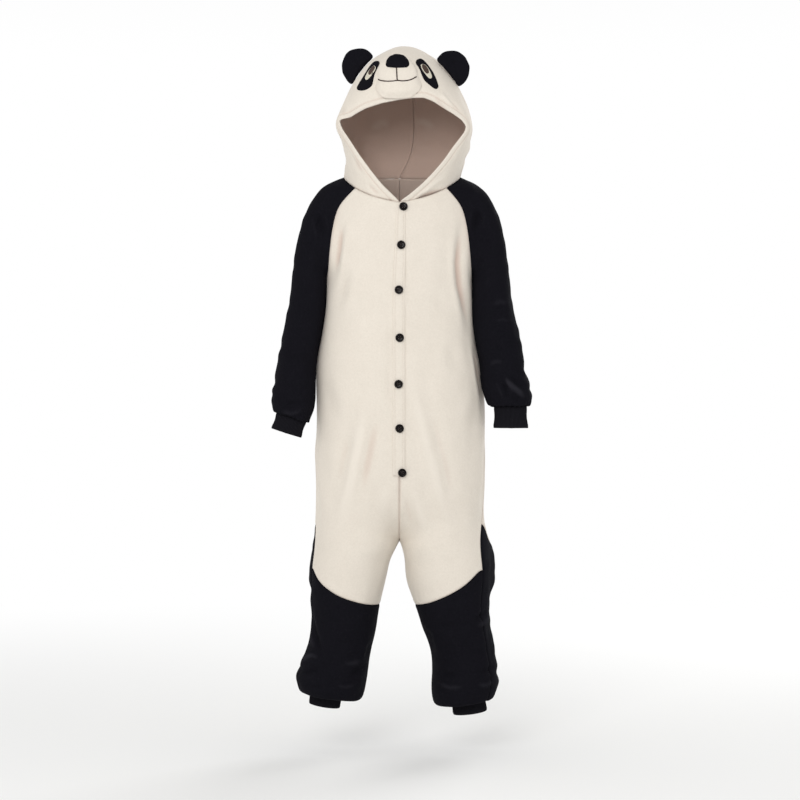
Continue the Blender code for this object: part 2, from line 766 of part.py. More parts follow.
def mesh_object(name, points, faces, finish):
    """An object from points in millimetres and faces, with its normals pointing out."""
    mesh = bpy.data.meshes.new(name)
    mesh.from_pydata([tuple(float(v) * MM for v in p) for p in points], [], [tuple(f) for f in faces])
    form = bmesh.new()
    form.from_mesh(mesh)
    bmesh.ops.recalc_face_normals(form, faces=form.faces)
    form.to_mesh(mesh)
    form.free()
    mesh.materials.append(finish)
    mesh.shade_smooth()
    mesh.set_sharp_from_angle(angle=SHARP_ANGLE)
    made = bpy.data.objects.new(name, mesh)
    bpy.context.scene.collection.objects.link(made)
    return made


def cell_faces(a, b, c, d):
    """The two faces of a cell, always split from its first corner."""
    return [(a, b, c), (a, c, d)]


def wall_object(name, grid, normals, finish, closed=False, wall=WALL, gap=SEAM_GAP):
    """A cloth wall: the grid is its outer face, and its inner face lies one wall inside."""
    rows, columns = grid.shape[:2]
    outer = pulled_in(grid, closed, gap)
    inward = np.array([[normals[spot(p)] for p in row] for row in grid])
    inner = outer - inward * wall
    points = np.concatenate([outer.reshape(-1, 3), inner.reshape(-1, 3)])
    shift = rows * columns

    def at(i, j):
        return i * columns + j % columns

    faces, edges = [], []
    across = columns if closed else columns - 1
    for i in range(rows - 1):
        for j in range(across):
            for face in cell_faces(at(i, j), at(i, j + 1), at(i + 1, j + 1), at(i + 1, j)):
                faces += [face, tuple(v + shift for v in reversed(face))]
    for i in (0, rows - 1):
        edges += [(at(i, j), at(i, j + 1)) for j in range(across)]
    if not closed:
        for j in (0, columns - 1):
            edges += [(at(i, j), at(i + 1, j)) for i in range(rows - 1)]
    flat = grid.reshape(-1, 3)
    for a, b in edges:
        # Both sides of a seam split its edge faces the same way, so they stay apart
        if spot(flat[a]) > spot(flat[b]):
            a, b = b, a
        faces += [(a, b, b + shift), (a, b + shift, a + shift)]
    return mesh_object(name, points, faces, finish)


def side_name(side):
    return "right" if side == RIGHT else "left"


def build_body():
    """The fronts, backs, legs, sleeves and cuffs. Returns the front grids, the neck lines and the normals."""
    fronts = {side: body_grid(side, False) for side in (RIGHT, LEFT)}
    backs = {side: body_grid(side, True) for side in (RIGHT, LEFT)}
    armholes = {side: armhole(side, fronts[side], backs[side]) for side in (RIGHT, LEFT)}
    sleeves = {side: sleeve_grid(side, *armholes[side]) for side in (RIGHT, LEFT)}
    around = sleeves[LEFT].shape[1]
    pieces, wrists, ankles = [], {}, {}
    for side in (RIGHT, LEFT):
        seam = side_turn(side, HEM_Z[side])
        ahead = [seam * j / BODY_COLUMNS for j in range(BODY_COLUMNS + 1)]
        behind = [1 - (1 - seam) * j / BODY_COLUMNS for j in range(1, BODY_COLUMNS)]
        ankles[side] = cuff_grid(ANKLES[side], side, ahead + behind[::-1])
        wrists[side] = cuff_grid(WRISTS[side], side, [k / around for k in range(around)])
        pieces.append((fronts[side], False, side == LEFT))
        pieces.append((backs[side], False, side == RIGHT))
        pieces += [(grid[side], True, side == LEFT) for grid in (sleeves, wrists, ankles)]
    normals = shared_normals(pieces)

    knee, back_seam = key_row("knee_seam"), key_row("back_leg_seam")
    for side in (RIGHT, LEFT):
        name = side_name(side)
        wall_object(f"front_{name}", fronts[side][: knee + 1], normals, cream_fleece())
        wall_object(f"shin_front_{name}", fronts[side][knee:], normals, black_fleece())
        wall_object(f"back_{name}", backs[side][: back_seam + 1], normals, cream_fleece())
        wall_object(f"leg_back_{name}", backs[side][back_seam:], normals, black_fleece())
        wall_object(
            f"sleeve_{name}", sleeves[side], normals, black_fleece(), closed=True, gap=ARMHOLE_GAP
        )
        wall_object(f"wrist_cuff_{name}", wrists[side], normals, black_fleece(), closed=True, wall=CUFF_WALL)
        wall_object(f"ankle_cuff_{name}", ankles[side], normals, black_fleece(), closed=True, wall=CUFF_WALL)
    seams = {side: armholes[side][0] for side in (RIGHT, LEFT)}
    return fronts, neck_lines(fronts, seams, backs), normals


def build_hood(lines):
    """The hood's face panel and its two back halves. Returns its grid and normals."""
    grid = hood_grid(lines)
    normals = shared_normals([(grid, False, False)])
    middle = HOOD_COLUMNS
    wall_object("hood_face", grid[: HOOD_FRONT_ROWS + 1], normals, cream_fleece(), wall=HOOD_WALL)
    backs = {"right": grid[HOOD_FRONT_ROWS:, : middle + 1], "left": grid[HOOD_FRONT_ROWS:, middle:]}
    for name, half in backs.items():
        wall_object(f"hood_back_{name}", half, normals, cream_fleece(), wall=HOOD_WALL)
    return grid, normals


def tree_of(grid):
    """A search tree of a grid's cells, for laying other pieces on it."""
    rows, columns = grid.shape[:2]
    faces = []
    for i in range(rows - 1):
        for j in range(columns - 1):
            corner = i * columns + j
            faces += cell_faces(corner, corner + 1, corner + columns + 1, corner + columns)
    return BVHTree.FromPolygons([Vector(p) for p in grid.reshape(-1, 3)], faces)


def laid_on(tree, x, z):
    """The place and outward normal where a line from the front meets a surface."""
    place, normal, _, _ = tree.ray_cast(Vector((x, RAY_START_Y, z)), Vector((0, 1, 0)))
    normal = normal if normal.y < 0 else -normal
    return np.array(place), np.array(normal)


def pad_object(name, base, normals, height, finish):
    """A piece that lies on another: its base points, and its face raised along the normals by its height."""
    rows, columns = base.shape[:2]
    raised = base + normals * height[:, :, None]
    shift = rows * columns
    points = np.concatenate([raised.reshape(-1, 3), base.reshape(-1, 3)])
    faces = []
    for i in range(rows - 1):
        for j in range(columns - 1):
            corner = i * columns + j
            for face in cell_faces(corner, corner + 1, corner + columns + 1, corner + columns):
                faces += [face, tuple(v + shift for v in reversed(face))]
    edge = list(range(columns))
    edge += [i * columns + columns - 1 for i in range(1, rows)]
    edge += [(rows - 1) * columns + j for j in range(columns - 2, -1, -1)]
    edge += [i * columns for i in range(rows - 2, 0, -1)]
    for a, b in zip(edge, edge[1:] + edge[:1]):
        faces.append((a, b, b + shift, a + shift))
    mesh_object(name, points, faces, finish)
    return raised


def pad_on(name, tree, cells, outline, rim, pad, finish):
    """A patch laid on a surface, between the two sides of its outline, thickest in its middle."""
    rows, columns = cells
    low, high = outline[-1].z, outline[0].z
    base, normals = np.zeros((rows + 1, columns + 1, 3)), np.zeros((rows + 1, columns + 1, 3))
    height = np.zeros((rows + 1, columns + 1))
    for i in range(rows + 1):
        z = high + (low - high) * i / rows
        at = read(outline, "z", z)
        for j in range(columns + 1):
            across, down = 2 * j / columns - 1, 2 * i / rows - 1
            x = FACE_X + at["left_x"] * (1 + across) / 2 + at["right_x"] * (1 - across) / 2
            place, normal = laid_on(tree, x, z)
            # A padded patch stands off the cloth under its middle
            middle = (1 - across**2) * (1 - down**2)
            off = PAD_GAP + STAND_OFF * middle**BACK_RISE if pad > rim else LAY_GAP
            base[i, j] = place + normal * off
            normals[i, j] = normal
            height[i, j] = rim + (pad - rim) * middle**PAD_RISE
    return pad_object(name, base, normals, height, finish)


def build_face(grid):
    """The muzzle, the nose on it and the two eye patches, laid on the hood's face panel."""
    tree = tree_of(grid[: HOOD_FRONT_ROWS + 1])
    muzzle = [SideRow(r.z, -r.half_width, r.half_width) for r in MUZZLE]
    dome = pad_on("muzzle", tree, MUZZLE_CELLS, muzzle, MUZZLE_RIM, MUZZLE_PAD, cream_fleece())
    nose = [SideRow(r.z, -r.half_width, r.half_width) for r in NOSE]
    pad_on("nose", tree_of(dome), NOSE_CELLS, nose, NOSE_RIM, NOSE_PAD, black_fleece())
    for side in (RIGHT, LEFT):
        if side == RIGHT:
            patch = [SideRow(r.z, -r.outer, -r.inner) for r in EYE_PATCHES[side]]
        else:
            patch = [SideRow(r.z, r.inner, r.outer) for r in EYE_PATCHES[side]]
        pad_on(f"eye_patch_{side_name(side)}", tree, PATCH_CELLS, patch, FELT, FELT, black_fleece())


def build_ear(side, arc, arc_normals):
    """A padded ear, a round disc cut off along the hood's seam."""
    ear = EARS[side]
    half = arc[HOOD_COLUMNS:][::-1] if side == LEFT else arc[: HOOD_COLUMNS + 1]
    lift = arc_normals[HOOD_COLUMNS:][::-1] if side == LEFT else arc_normals[: HOOD_COLUMNS + 1]
    heights = np.linspace(ear.low_z, ear.high_z, EAR_BASE_CELLS + 1)
    climb = slice(0, int(np.argmax(half[:, 2])) + 1)
    base = np.stack([np.interp(heights, half[climb, 2], half[climb, k]) for k in range(3)], axis=1)
    rise = np.stack([np.interp(heights, half[climb, 2], lift[climb, k]) for k in range(3)], axis=1)
    base = base + rise * LAY_GAP
    chord = base[-1] - base[0]
    length = np.linalg.norm(chord)
    along = chord / length
    out = rise.mean(axis=0)
    out = out - out.dot(along) * along
    out /= np.linalg.norm(out)
    ahead = np.cross(along, out)
    middle = (base[0] + base[-1]) / 2 + out * ear.out + along * ear.up
    start = math.atan2((base[-1] - middle).dot(out), (base[-1] - middle).dot(along))
    stop = math.atan2((base[0] - middle).dot(out), (base[0] - middle).dot(along)) + 2 * math.pi
    outline = list(base)
    for n in range(1, EAR_ARC_CELLS):
        t = n / EAR_ARC_CELLS
        angle = start + (stop - start) * t
        reach = ear.radius
        reach += (np.linalg.norm(base[-1] - middle) - ear.radius) * (1 - t) ** EAR_CORNER
        reach += (np.linalg.norm(base[0] - middle) - ear.radius) * t**EAR_CORNER
        outline.append(middle + reach * (math.cos(angle) * along + math.sin(angle) * out))
    outline = np.array(outline)
    count = len(outline)
    points = [middle + ahead * EAR_PAD, middle - ahead * EAR_PAD]
    faces = []
    for n in range(1, EAR_RINGS + 1):
        r = n / EAR_RINGS
        bulge = EAR_RIM + (EAR_PAD - EAR_RIM) * (1 - r**2) ** PAD_RISE
        for face in (1, -1):
            points += [middle + (p - middle) * r + ahead * bulge * face for p in outline]
    for k in range(count):
        after = (k + 1) % count
        for face in (0, 1):
            ring = 2 + face * count
            faces.append((face, ring + k, ring + after))
            for n in range(EAR_RINGS - 1):
                inner = ring + n * 2 * count
                outer = inner + 2 * count
                faces.append((inner + k, outer + k, outer + after, inner + after))
        rim = 2 + (EAR_RINGS - 1) * 2 * count
        faces.append((rim + k, rim + after, rim + count + after, rim + count + k))
    mesh_object(f"ear_{side_name(side)}", points, faces, black_fleece())


def build_placket(fronts, normals):
    """The button strip, laid on the inner edges of both fronts from their own points."""
    last = YOKE_ROWS + max(
        i for i, (z, _) in enumerate(row_heights(LEFT, False)) if z >= PLACKET[-1].z
    )
    base, ways = [], []
    for i in range(last + 1):
        at = read(PLACKET, "z", fronts[LEFT][i][0][2])
        line, way = [], []
        for x in (at["fold"], at["fold"] / 2, 0.0, at["stitched"] / 2, at["stitched"]):
            side = RIGHT if x < 0 else LEFT
            edge, inside = fronts[side][i][0], fronts[side][i][1]
            share = abs(x) / abs(inside[0] - edge[0])
            normal = (1 - share) * normals[spot(edge)] + share * normals[spot(inside)]
            line.append(edge + (inside - edge) * share + normal * SEAM_GAP)
            way.append(normal)
        base.append(line)
        ways.append(way)
    base, ways = np.array(base), np.array(ways)
    height = np.full(base.shape[:2], PLACKET_THICK)
    return pad_object("placket", base, ways, height, cream_fleece())


def build_buttons(strip):
    """Seven dished buttons on the button strip."""
    tree = tree_of(strip)
    radius = BUTTON_WIDTH / 2
    profile = [
        (radius, 0.0),
        (radius, BUTTON_EDGE),
        (radius - BUTTON_ROUND, BUTTON_THICK),
        (radius - BUTTON_RIM, BUTTON_THICK),
        (radius - BUTTON_RIM - BUTTON_SLOPE, BUTTON_THICK - BUTTON_DISH),
    ]
    for number, (x, z) in enumerate(BUTTONS, 1):
        place, normal = laid_on(tree, CENTRE_X + x, z)
        across = np.cross(normal, (0, 0, 1))
        across /= np.linalg.norm(across)
        up = np.cross(across, normal)
        points, faces = [], []
        for r, height in profile:
            for k in range(BUTTON_SIDES):
                angle = 2 * math.pi * k / BUTTON_SIDES
                flat = (across * math.cos(angle) + up * math.sin(angle)) * r
                points.append(place + flat + normal * (SEAM_GAP + height))
        for n in range(len(profile) - 1):
            for k in range(BUTTON_SIDES):
                a, b = n * BUTTON_SIDES + k, n * BUTTON_SIDES + (k + 1) % BUTTON_SIDES
                faces.append((a, b, b + BUTTON_SIDES, a + BUTTON_SIDES))
        faces.append(tuple(reversed(range(BUTTON_SIDES))))
        faces.append(tuple((len(profile) - 1) * BUTTON_SIDES + k for k in range(BUTTON_SIDES)))
        mesh_object(f"button_{number}", points, faces, black_plastic())


def clear_scene():
    for found in list(bpy.data.objects):
        bpy.data.objects.remove(found)


def main():
    clear_scene()
    fronts, lines, normals = build_body()
    hood, hood_normals = build_hood(lines)
    build_face(hood)
    arc = hood[HOOD_FRONT_ROWS]
    arc_normals = np.array([hood_normals[spot(p)] for p in arc])
    for side in (RIGHT, LEFT):
        build_ear(side, arc, arc_normals)
    build_buttons(build_placket(fronts, normals))


main()
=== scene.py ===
"""The panda costume, dressed: brushed fleece with its folds and seams, rib cuffs, padding and buttons.

Each cloth piece starts as the outer face of its CAD piece. The pieces of the suit are joined along their
seams, smoothed and folded as one cloth, and then cut apart again and given their thickness.
"""

import json
import logging
import math
from collections.abc import Callable, Iterator
from contextlib import contextmanager
from dataclasses import dataclass, field
from enum import Enum

import bmesh
import bpy
import numpy as np
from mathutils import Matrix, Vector, kdtree
from mathutils.bvhtree import BVHTree

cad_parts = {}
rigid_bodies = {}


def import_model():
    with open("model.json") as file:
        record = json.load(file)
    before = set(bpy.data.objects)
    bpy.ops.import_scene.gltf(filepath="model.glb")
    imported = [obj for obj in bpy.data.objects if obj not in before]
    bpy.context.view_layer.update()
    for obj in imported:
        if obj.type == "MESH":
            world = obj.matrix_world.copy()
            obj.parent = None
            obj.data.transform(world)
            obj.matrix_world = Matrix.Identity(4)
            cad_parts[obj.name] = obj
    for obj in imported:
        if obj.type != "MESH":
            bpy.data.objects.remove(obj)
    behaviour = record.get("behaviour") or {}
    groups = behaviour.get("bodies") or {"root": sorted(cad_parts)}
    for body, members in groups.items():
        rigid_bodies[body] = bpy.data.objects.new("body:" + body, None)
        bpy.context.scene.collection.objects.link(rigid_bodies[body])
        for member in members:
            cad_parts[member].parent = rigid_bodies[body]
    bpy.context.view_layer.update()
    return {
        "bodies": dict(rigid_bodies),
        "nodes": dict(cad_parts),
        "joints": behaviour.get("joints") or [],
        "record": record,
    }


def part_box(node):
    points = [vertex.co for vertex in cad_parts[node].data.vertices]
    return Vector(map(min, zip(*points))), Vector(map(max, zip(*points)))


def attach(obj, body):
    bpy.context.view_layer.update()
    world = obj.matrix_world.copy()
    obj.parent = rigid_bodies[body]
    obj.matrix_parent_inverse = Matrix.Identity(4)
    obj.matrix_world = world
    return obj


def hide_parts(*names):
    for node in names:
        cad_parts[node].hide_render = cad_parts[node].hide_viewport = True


LOG = logging.getLogger("panda_costume")
MM = 0.001
BODY = "root"

Points = np.ndarray
Piece = bpy.types.Object
Place = tuple[Vector, Vector]
Outline = tuple[tuple[float, float], ...]
Colour = tuple[float, float, float]


class Finish(Enum):
    """The cloths and hard finishes of the suit, by the name of their material."""

    CREAM = "cream_fleece"
    BLACK = "black_fleece"
    RIB = "black_rib"
    PLASTIC = "button_plastic"
    BROWN_THREAD = "brown_thread"
    CREAM_THREAD = "cream_thread"
    DARK_THREAD = "dark_thread"
    BROWN_SATIN = "brown_satin"
    CREAM_SATIN = "cream_satin"
    FLOOR = "pale_floor"

    @property
    def slot(self) -> str:
        """The record's material slot that this finish belongs to."""
        return {
            Finish.BLACK: "black_fleece",
            Finish.RIB: "black_rib",
            Finish.PLASTIC: "button_plastic",
            Finish.DARK_THREAD: "button_plastic",
        }.get(self, "cream_fleece")


class View(Enum):
    """The side that a fold is drawn on, with the two axes it is drawn in and the way the cloth faces."""

    FRONT = (0, 2, (0.0, -1.0, 0.0))
    BACK = (0, 2, (0.0, 1.0, 0.0))
    RIGHT = (1, 2, (-1.0, 0.0, 0.0))
    LEFT = (1, 2, (1.0, 0.0, 0.0))


@dataclass(frozen=True)
class Fold:
    """One soft fold, in millimetres: a line on the cloth, its height (a trough if negative) and half width."""

    view: View
    line: Outline
    height: float
    width: float


@dataclass(frozen=True)
class Cut:
    """One cut piece: its CAD node, its wall, and the flat size of what shows of it, in metres."""

    node: str
    wall: float
    flat: tuple[float, float]
    area: float
    finish: Finish
    held: str


def folds_from(view: View, *rows: tuple[float, ...]) -> tuple[Fold, ...]:
    """Folds of one view, from rows of height, half width and then the line's places in turn."""
    return tuple(Fold(view, tuple(zip(row[2::2], row[3::2])), row[0], row[1]) for row in rows)


TORSO_FOLDS = folds_from(
    View.FRONT,
    (-5.5, 7, -117.7, -70, -119.7, -98, -123.7, -134, -129.7, -170, -133.6, -202),
    (-2.4, 9, -101.7, -166, -109.7, -198, -117.7, -230, -129.7, -266),
    (-7, 8, 125.7, -66, 120.7, -114, 117.7, -166, 121.7, -210, 131.7, -258, 145.6, -317),
    (-1.8, 5, 12, -166, 17, -212, 18, -266),
    (-2.2, 8, -13, -222, -17, -301, -20.9, -401, -19.9, -501, -14, -581),
    (4.0, 15, 10, -341, 23.9, -397, 43.9, -465, 65.8, -545, 87.8, -640, 123.7, -724),
    (-3.6, 14, 23.9, -373, 39.9, -417, 61.8, -489, 83.8, -565, 103.7, -650, 139.6, -712),
    (4.0, 15, -57.8, -425, -71.8, -481, -87.8, -545, -103.7, -624, -127.7, -736),
    (-3.2, 14, -39.9, -441, -53.9, -505, -67.8, -573, -85.8, -650),
    (-2.6, 13, -95.7, -481, -109.7, -565, -123.7, -650),
    (-1.6, 14, 59.8, -214, 79.8, -242, 103.7, -273),
    (-2, 12, 95.7, -321, 109.7, -361, 121.7, -401),
    (2.2, 11, -18, -593, -31.9, -650, -45.9, -704),
    (-2.2, 10, 6, -616, 16, -664, 27.9, -712),
    (2.0, 12, 18, -597, 39.9, -660, 59.8, -730),
    (-2.2, 12, -155.6, -385, -139.6, -441, -127.7, -501),
    (-2.2, 12, 155.6, -425, 143.6, -481, 131.7, -541),
    (-5, 5, 148, -300, 153, -345, 160, -390, 168, -440, 172, -490),
) + folds_from(
    View.BACK,
    (-4.5, 10, -92, -40, -112, -90, -128, -150, -140, -215),
    (-4.2, 10, 96, -36, 116, -95, 131, -160, 141, -225),
    (3.2, 16, -76, -40, -88, -120, -84, -230, -96, -360),
    (-4.4, 17, -50, -90, -60, -200, -52, -330, -66, -470),
    (-4.4, 17, 60, -70, 74, -190, 62, -330, 78, -480),
    (3.2, 16, 92, -60, 100, -180, 104, -300, 96, -420),
    (2.8, 18, 14, -130, 24, -260, 16, -400, 26, -540),
    (-3.6, 14, -150, -318, -104, -350, -50, -356, -8, -338),
    (2.4, 13, -152, -352, -110, -384, -62, -390),
    (-3.6, 14, 10, -404, 60, -428, 110, -424, 152, -398),
    (2.2, 13, 40, -376, 92, -392, 148, -366),
    (-5.0, 13, -12, -628, -44, -688, -88, -742, -130, -780),
    (-5.0, 13, 12, -640, 52, -700, 100, -744, 140, -776),
    (-3.6, 15, -24, -566, -76, -600, -134, -604),
    (-3.6, 15, 26, -580, 80, -612, 140, -606),
    (3.0, 15, -20, -600, -70, -640, -130, -652),
    (3.0, 15, 24, -616, 76, -654, 134, -660),
) + folds_from(
    View.RIGHT,
    (-3.6, 15, 34, -300, 48, -400, 30, -540),
    (-3.4, 15, -30, -480, -10, -570, -28, -680),
) + folds_from(
    View.LEFT,
    (-3.6, 15, 36, -280, 48, -400, 34, -520),
    (-3.4, 15, -28, -500, -12, -590, -34, -690),
)

SLEEVE_FOLDS = folds_from(
    View.FRONT,
    (-4, 7, -170.6, -42.9, -162.5, -79.5, -150.3, -124.2),
    (-1.5, 8, -190.9, -79.5, -184.8, -128.2, -180.8, -177),
    (-1.8, 7, -223.4, -237.9, -195, -250.1, -162.5, -246),
    (-1.6, 7, -231.5, -319.1, -203.1, -302.9, -178.7, -311),
    (-1.8, 7, -251.9, -359.8, -223.4, -343.5, -195, -351.6),
    (-2.2, 6, -247.8, -400.4, -219.4, -416.6, -186.9, -408.5),
    (-3.5, 6, -251.9, -436.9, -223.4, -449.1, -195, -445.1, -170.6, -428.8),
    (2, 5, -249.8, -461.3, -219.4, -469.4, -186.9, -461.3),
    (-4, 7, 160.5, -38.8, 156.4, -71.3, 152.3, -107.9),
    (-2.2, 7, 182.8, -91.7, 176.7, -128.2, 170.6, -160.7),
    (1.8, 6, 178.7, -248, 203.1, -242, 227.5, -246),
    (-2, 5, 174.7, -262.3, 199, -260.2, 229.5, -262.3),
    (1.5, 5, 182.8, -284.6, 207.2, -278.5, 231.5, -284.6),
    (-2, 6, 176.7, -309, 203.1, -304.9, 235.6, -313),
    (-3, 6, 170.6, -343.5, 195, -335.4, 223.4, -343.5),
    (2, 6, 174.7, -376, 190.9, -363.8, 215.3, -363.8),
    (-3.5, 5, 190.9, -371.9, 203.1, -396.3, 213.3, -424.8, 215.3, -457.2),
    (-3.4, 5, 211, -382, 236, -402, 262, -425),
    (3.6, 5.5, 202, -392, 228, -416, 260, -442),
    (2.4, 4, 190, -380, 202, -396, 212, -412),
    (-3.0, 5, 208, -424, 226, -436, 250, -450),
    (-2.5, 5, 178.7, -400.4, 188.9, -424.8, 203.1, -449.1),
) + folds_from(
    View.BACK,
    (-3, 8, -224, -226, -196, -242, -166, -236),
    (-2.6, 8, -236, -288, -204, -300, -172, -292),
    (-3.2, 7, -246, -376, -216, -392, -184, -380),
    (-3.6, 6, -254, -428, -222, -420, -186, -436),
    (-3, 8, 222, -232, 196, -246, 166, -240),
    (-2.6, 8, 240, -300, 208, -290, 176, -302),
    (-3.2, 7, 250, -356, 218, -368, 182, -360),
    (-3.6, 6, 258, -412, 226, -402, 186, -414),
) + folds_from(
    View.RIGHT,
    (-1.2, 9, -62, -318, -30, -334, 8, -326),
    (-1.8, 8, -72, -392, -38, -406, 2, -394),
    (-2.0, 7, -74, -438, -40, -430, -2, -442),
) + folds_from(
    View.LEFT,
    (-1.2, 9, -62, -300, -28, -316, 10, -306),
    (-1.8, 8, -72, -368, -38, -380, 2, -366),
    (-2.0, 7, -76, -412, -42, -420, -2, -410),
)

LEG_FOLDS = folds_from(
    View.FRONT,
    (-4.5, 5, -183, -855.4, -177, -899.6, -164.9, -933.8, -156.9, -955.9, -158.9, -972),
    (2.5, 5, -191.1, -887.6, -183, -923.8, -173, -951.9),
    (3.5, 5, -209.2, -980.1, -195.1, -968, -177, -958, -156.9, -964),
    (-4, 6, -213.2, -1004.2, -195.1, -994.2, -173, -984.1, -148.9, -992.2),
    (-3, 5, -56.3, -923.8, -64.4, -947.9, -68.4, -972),
    (-3.5, 6, -64.4, -980.1, -84.5, -988.1, -108.6, -1004.2),
    (2.2, 6, -72.4, -964, -96.6, -972, -120.7, -972),
    (2, 5, -80.5, -1016.3, -108.6, -1020.3, -136.8, -1012.3),
    (-1.8, 7, -160.9, -815.1, -132.8, -839.3, -100.6, -855.4),
    (-2, 8, -140.8, -923.8, -116.7, -935.8, -88.5, -927.8),
    (-1.6, 9, -156.9, -883.5, -128.7, -895.6, -96.6, -887.6),
    (-3, 5, -195.1, -1024.3, -169, -1018.3, -140.8, -1024.3),
    (-4, 5, 140.8, -887.6, 160.9, -879.5, 187.1, -861.4),
    (2.5, 5, 148.9, -899.6, 169, -893.6, 191.1, -879.5),
    (-3, 6, 52.3, -903.6, 62.4, -931.8, 66.4, -955.9),
    (-2, 7, 68.4, -911.7, 92.5, -899.6, 120.7, -887.6),
    (-3.5, 6, 72.4, -988.1, 96.6, -996.2, 124.7, -992.2),
    (2.5, 5, 68.4, -1012.3, 100.6, -1020.3, 136.8, -1016.3),
    (-3.5, 6, 201.2, -980.1, 177, -988.1, 148.9, -988.1),
    (2.5, 5, 197.1, -1008.2, 173, -1016.3, 148.9, -1012.3),
    (-2.4, 7, 185.1, -943.9, 160.9, -951.9, 128.7, -943.9),
    (-2, 7, 80.5, -953.9, 104.6, -960, 124.7, -955.9),
) + folds_from(
    View.BACK,
    (-3.4, 9, -166, -776, -120, -796, -62, -786),
    (-3.4, 9, 172, -784, 122, -800, 50, -790),
    (-3.2, 11, -172, -862, -136, -888, -84, -896),
    (-2.6, 9, -120, -936, -96, -926, -66, -930),
    (-3.6, 9, -194, -976, -142, -962, -96, -974),
    (2.6, 6, -204, -1014, -150, -1008, -88, -1018),
    (-3.2, 11, 62, -872, 110, -898, 168, -902),
    (-2.6, 9, 120, -944, 152, -934, 190, -940),
    (-3.6, 9, 76, -990, 124, -974, 186, -992),
    (2.6, 6, 80, -1024, 140, -1018, 196, -1028),
) + folds_from(
    View.RIGHT,
    (-2.6, 12, -44, -800, -4, -832, 52, -826),
    (-2.4, 11, -10, -930, 30, -918, 62, -936),
    (-3.4, 9, -64, -976, -20, -994, 40, -978),
) + folds_from(
    View.LEFT,
    (-2.2, 12, -20, -850, 20, -838, 56, -852),
    (-2.6, 10, -60, -918, -22, -904, 20, -908),
    (-3.4, 9, -46, -992, 2, -1000, 64, -984),
)

# Where the legs' cloth stands out broadly at the sides
LEG_BULGES = folds_from(
    View.RIGHT,
    (3.5, 30, 18, -690, 24, -740, 26, -800, 22, -860),
) + folds_from(
    View.LEFT,
    (8.5, 28, 20, -690, 28, -750, 30, -810, 24, -880),
)

HOOD_FOLDS = folds_from(
    View.FRONT,
    (2.5, 4, 73.9, 182.5, 95.9, 152.5, 115.9, 128.6, 131.9, 108.6),
    (-2.0, 5, 62, 170.5, 81.9, 146.5, 99.9, 126.6),
    (-3, 3.5, 18, -42.3, 40, -35.3, 67.9, -23.3, 91.9, -13.3),
    (2.2, 4, 24, -33.3, 48, -21.3, 75.9, -3.3, 99.9, 14.6),
    (-2, 5, -95.9, 58.6, -85.9, 32.6, -71.9, 6.7),
    (-2, 4, -34, -33.3, -52, -21.3, -67.9, -3.3),
    (-1.5, 6, -107.9, 122.6, -115.9, 142.5, -111.9, 162.5),
    (1.2, 5, -79.9, 134.6, -67.9, 150.5, -48, 160.5),
    (-1.5, 7, 99.9, 102.6, 111.9, 134.6, 103.9, 162.5),
) + folds_from(
    View.BACK,
    (-3, 9, -84, 60, -60, 84, -20, 92),
    (-3, 9, 92, 64, 64, 86, 26, 92),
    (2, 12, -72, 120, -40, 140, -6, 144),
    (2, 12, 84, 124, 48, 144, 14, 146),
) + folds_from(
    View.RIGHT,
    (-3, 8, -30, 40, 10, 60, 50, 56),
    (-2, 10, -40, 84, 0, 92, 50, 84),
) + folds_from(
    View.LEFT,
    (-3, 8, -34, 36, 6, 58, 48, 54),
    (-2, 10, -44, 90, 0, 96, 50, 86),
)

# The face opening's edge as seen from in front, in millimetres on the plane y = 0, round from its right corner
OPENING = (
    (-125.2, 132.9), (-100.4, 137.8), (-88.1, 145.6), (-69.7, 155.5), (-37.7, 165.7), (-6.1, 171.9), (24.6, 176.4),
    (48.6, 177.0), (67.0, 169.8), (88.1, 156.3), (108.6, 144.4), (127.1, 131.3), (136.9, 116.9), (129.1, 105.2),
    (108.6, 79.6), (88.1, 50.9), (67.0, 26.3), (45.9, 4.6), (19.9, -17.7), (4.1, -30.2), (-8.8, -24.3), (-34.8, 0.7),
    (-58.6, 30.4), (-79.9, 59.1), (-100.4, 89.9), (-118.9, 115.7),
)
OPENING_MIDDLE = (6.1, 91.9)

# The face's pieces as seen from in front, in millimetres on the plane y = 0
NOSE_EDGE = (
    (-29.1, 249.3), (-29.5, 246.7), (-27.7, 244.2), (-24.2, 242.4), (-17.4, 241.6), (-7.2, 241.1), (4.1, 241.1),
    (13.3, 241.6), (17.0, 243.2), (19.1, 246.1), (19.1, 249.7), (17.8, 253.8), (15.0, 257.9), (10.7, 262.0),
    (5.1, 265.1), (-1.0, 266.8), (-7.2, 267.2), (-13.3, 266.1), (-18.9, 263.3), (-24.2, 258.8), (-27.5, 254.3),
)
MUZZLE_EDGE = (
    (-30.5, 178.3), (-41.8, 185.9), (-49.0, 195.3), (-51.2, 208.5), (-49.7, 223.6), (-44.8, 240.8), (-36.5, 256.9),
    (-22.3, 266.6), (-4.1, 270.5), (14.1, 266.6), (26.2, 257.0), (34.6, 245.8), (40.2, 234.7), (42.7, 223.6),
    (44.2, 210.4), (43.4, 201.0), (39.3, 193.4), (31.7, 186.8), (22.3, 181.2), (7.2, 177.6), (-11.6, 177.2),
)
PATCH_RIGHT = (
    (-45.0, 254.1), (-41.8, 251.9), (-42.2, 247.2), (-45.2, 240.6), (-49.0, 233.0), (-52.0, 225.5), (-53.9, 217.9),
    (-55.0, 211.3), (-56.9, 204.7), (-60.7, 200.0), (-67.3, 195.7), (-73.9, 193.4), (-81.4, 193.0), (-86.7, 194.4),
    (-88.6, 197.2), (-87.1, 201.9), (-82.4, 210.4), (-76.7, 219.8), (-71.0, 229.3), (-64.4, 239.6), (-57.8, 248.1),
    (-51.2, 253.4),
)
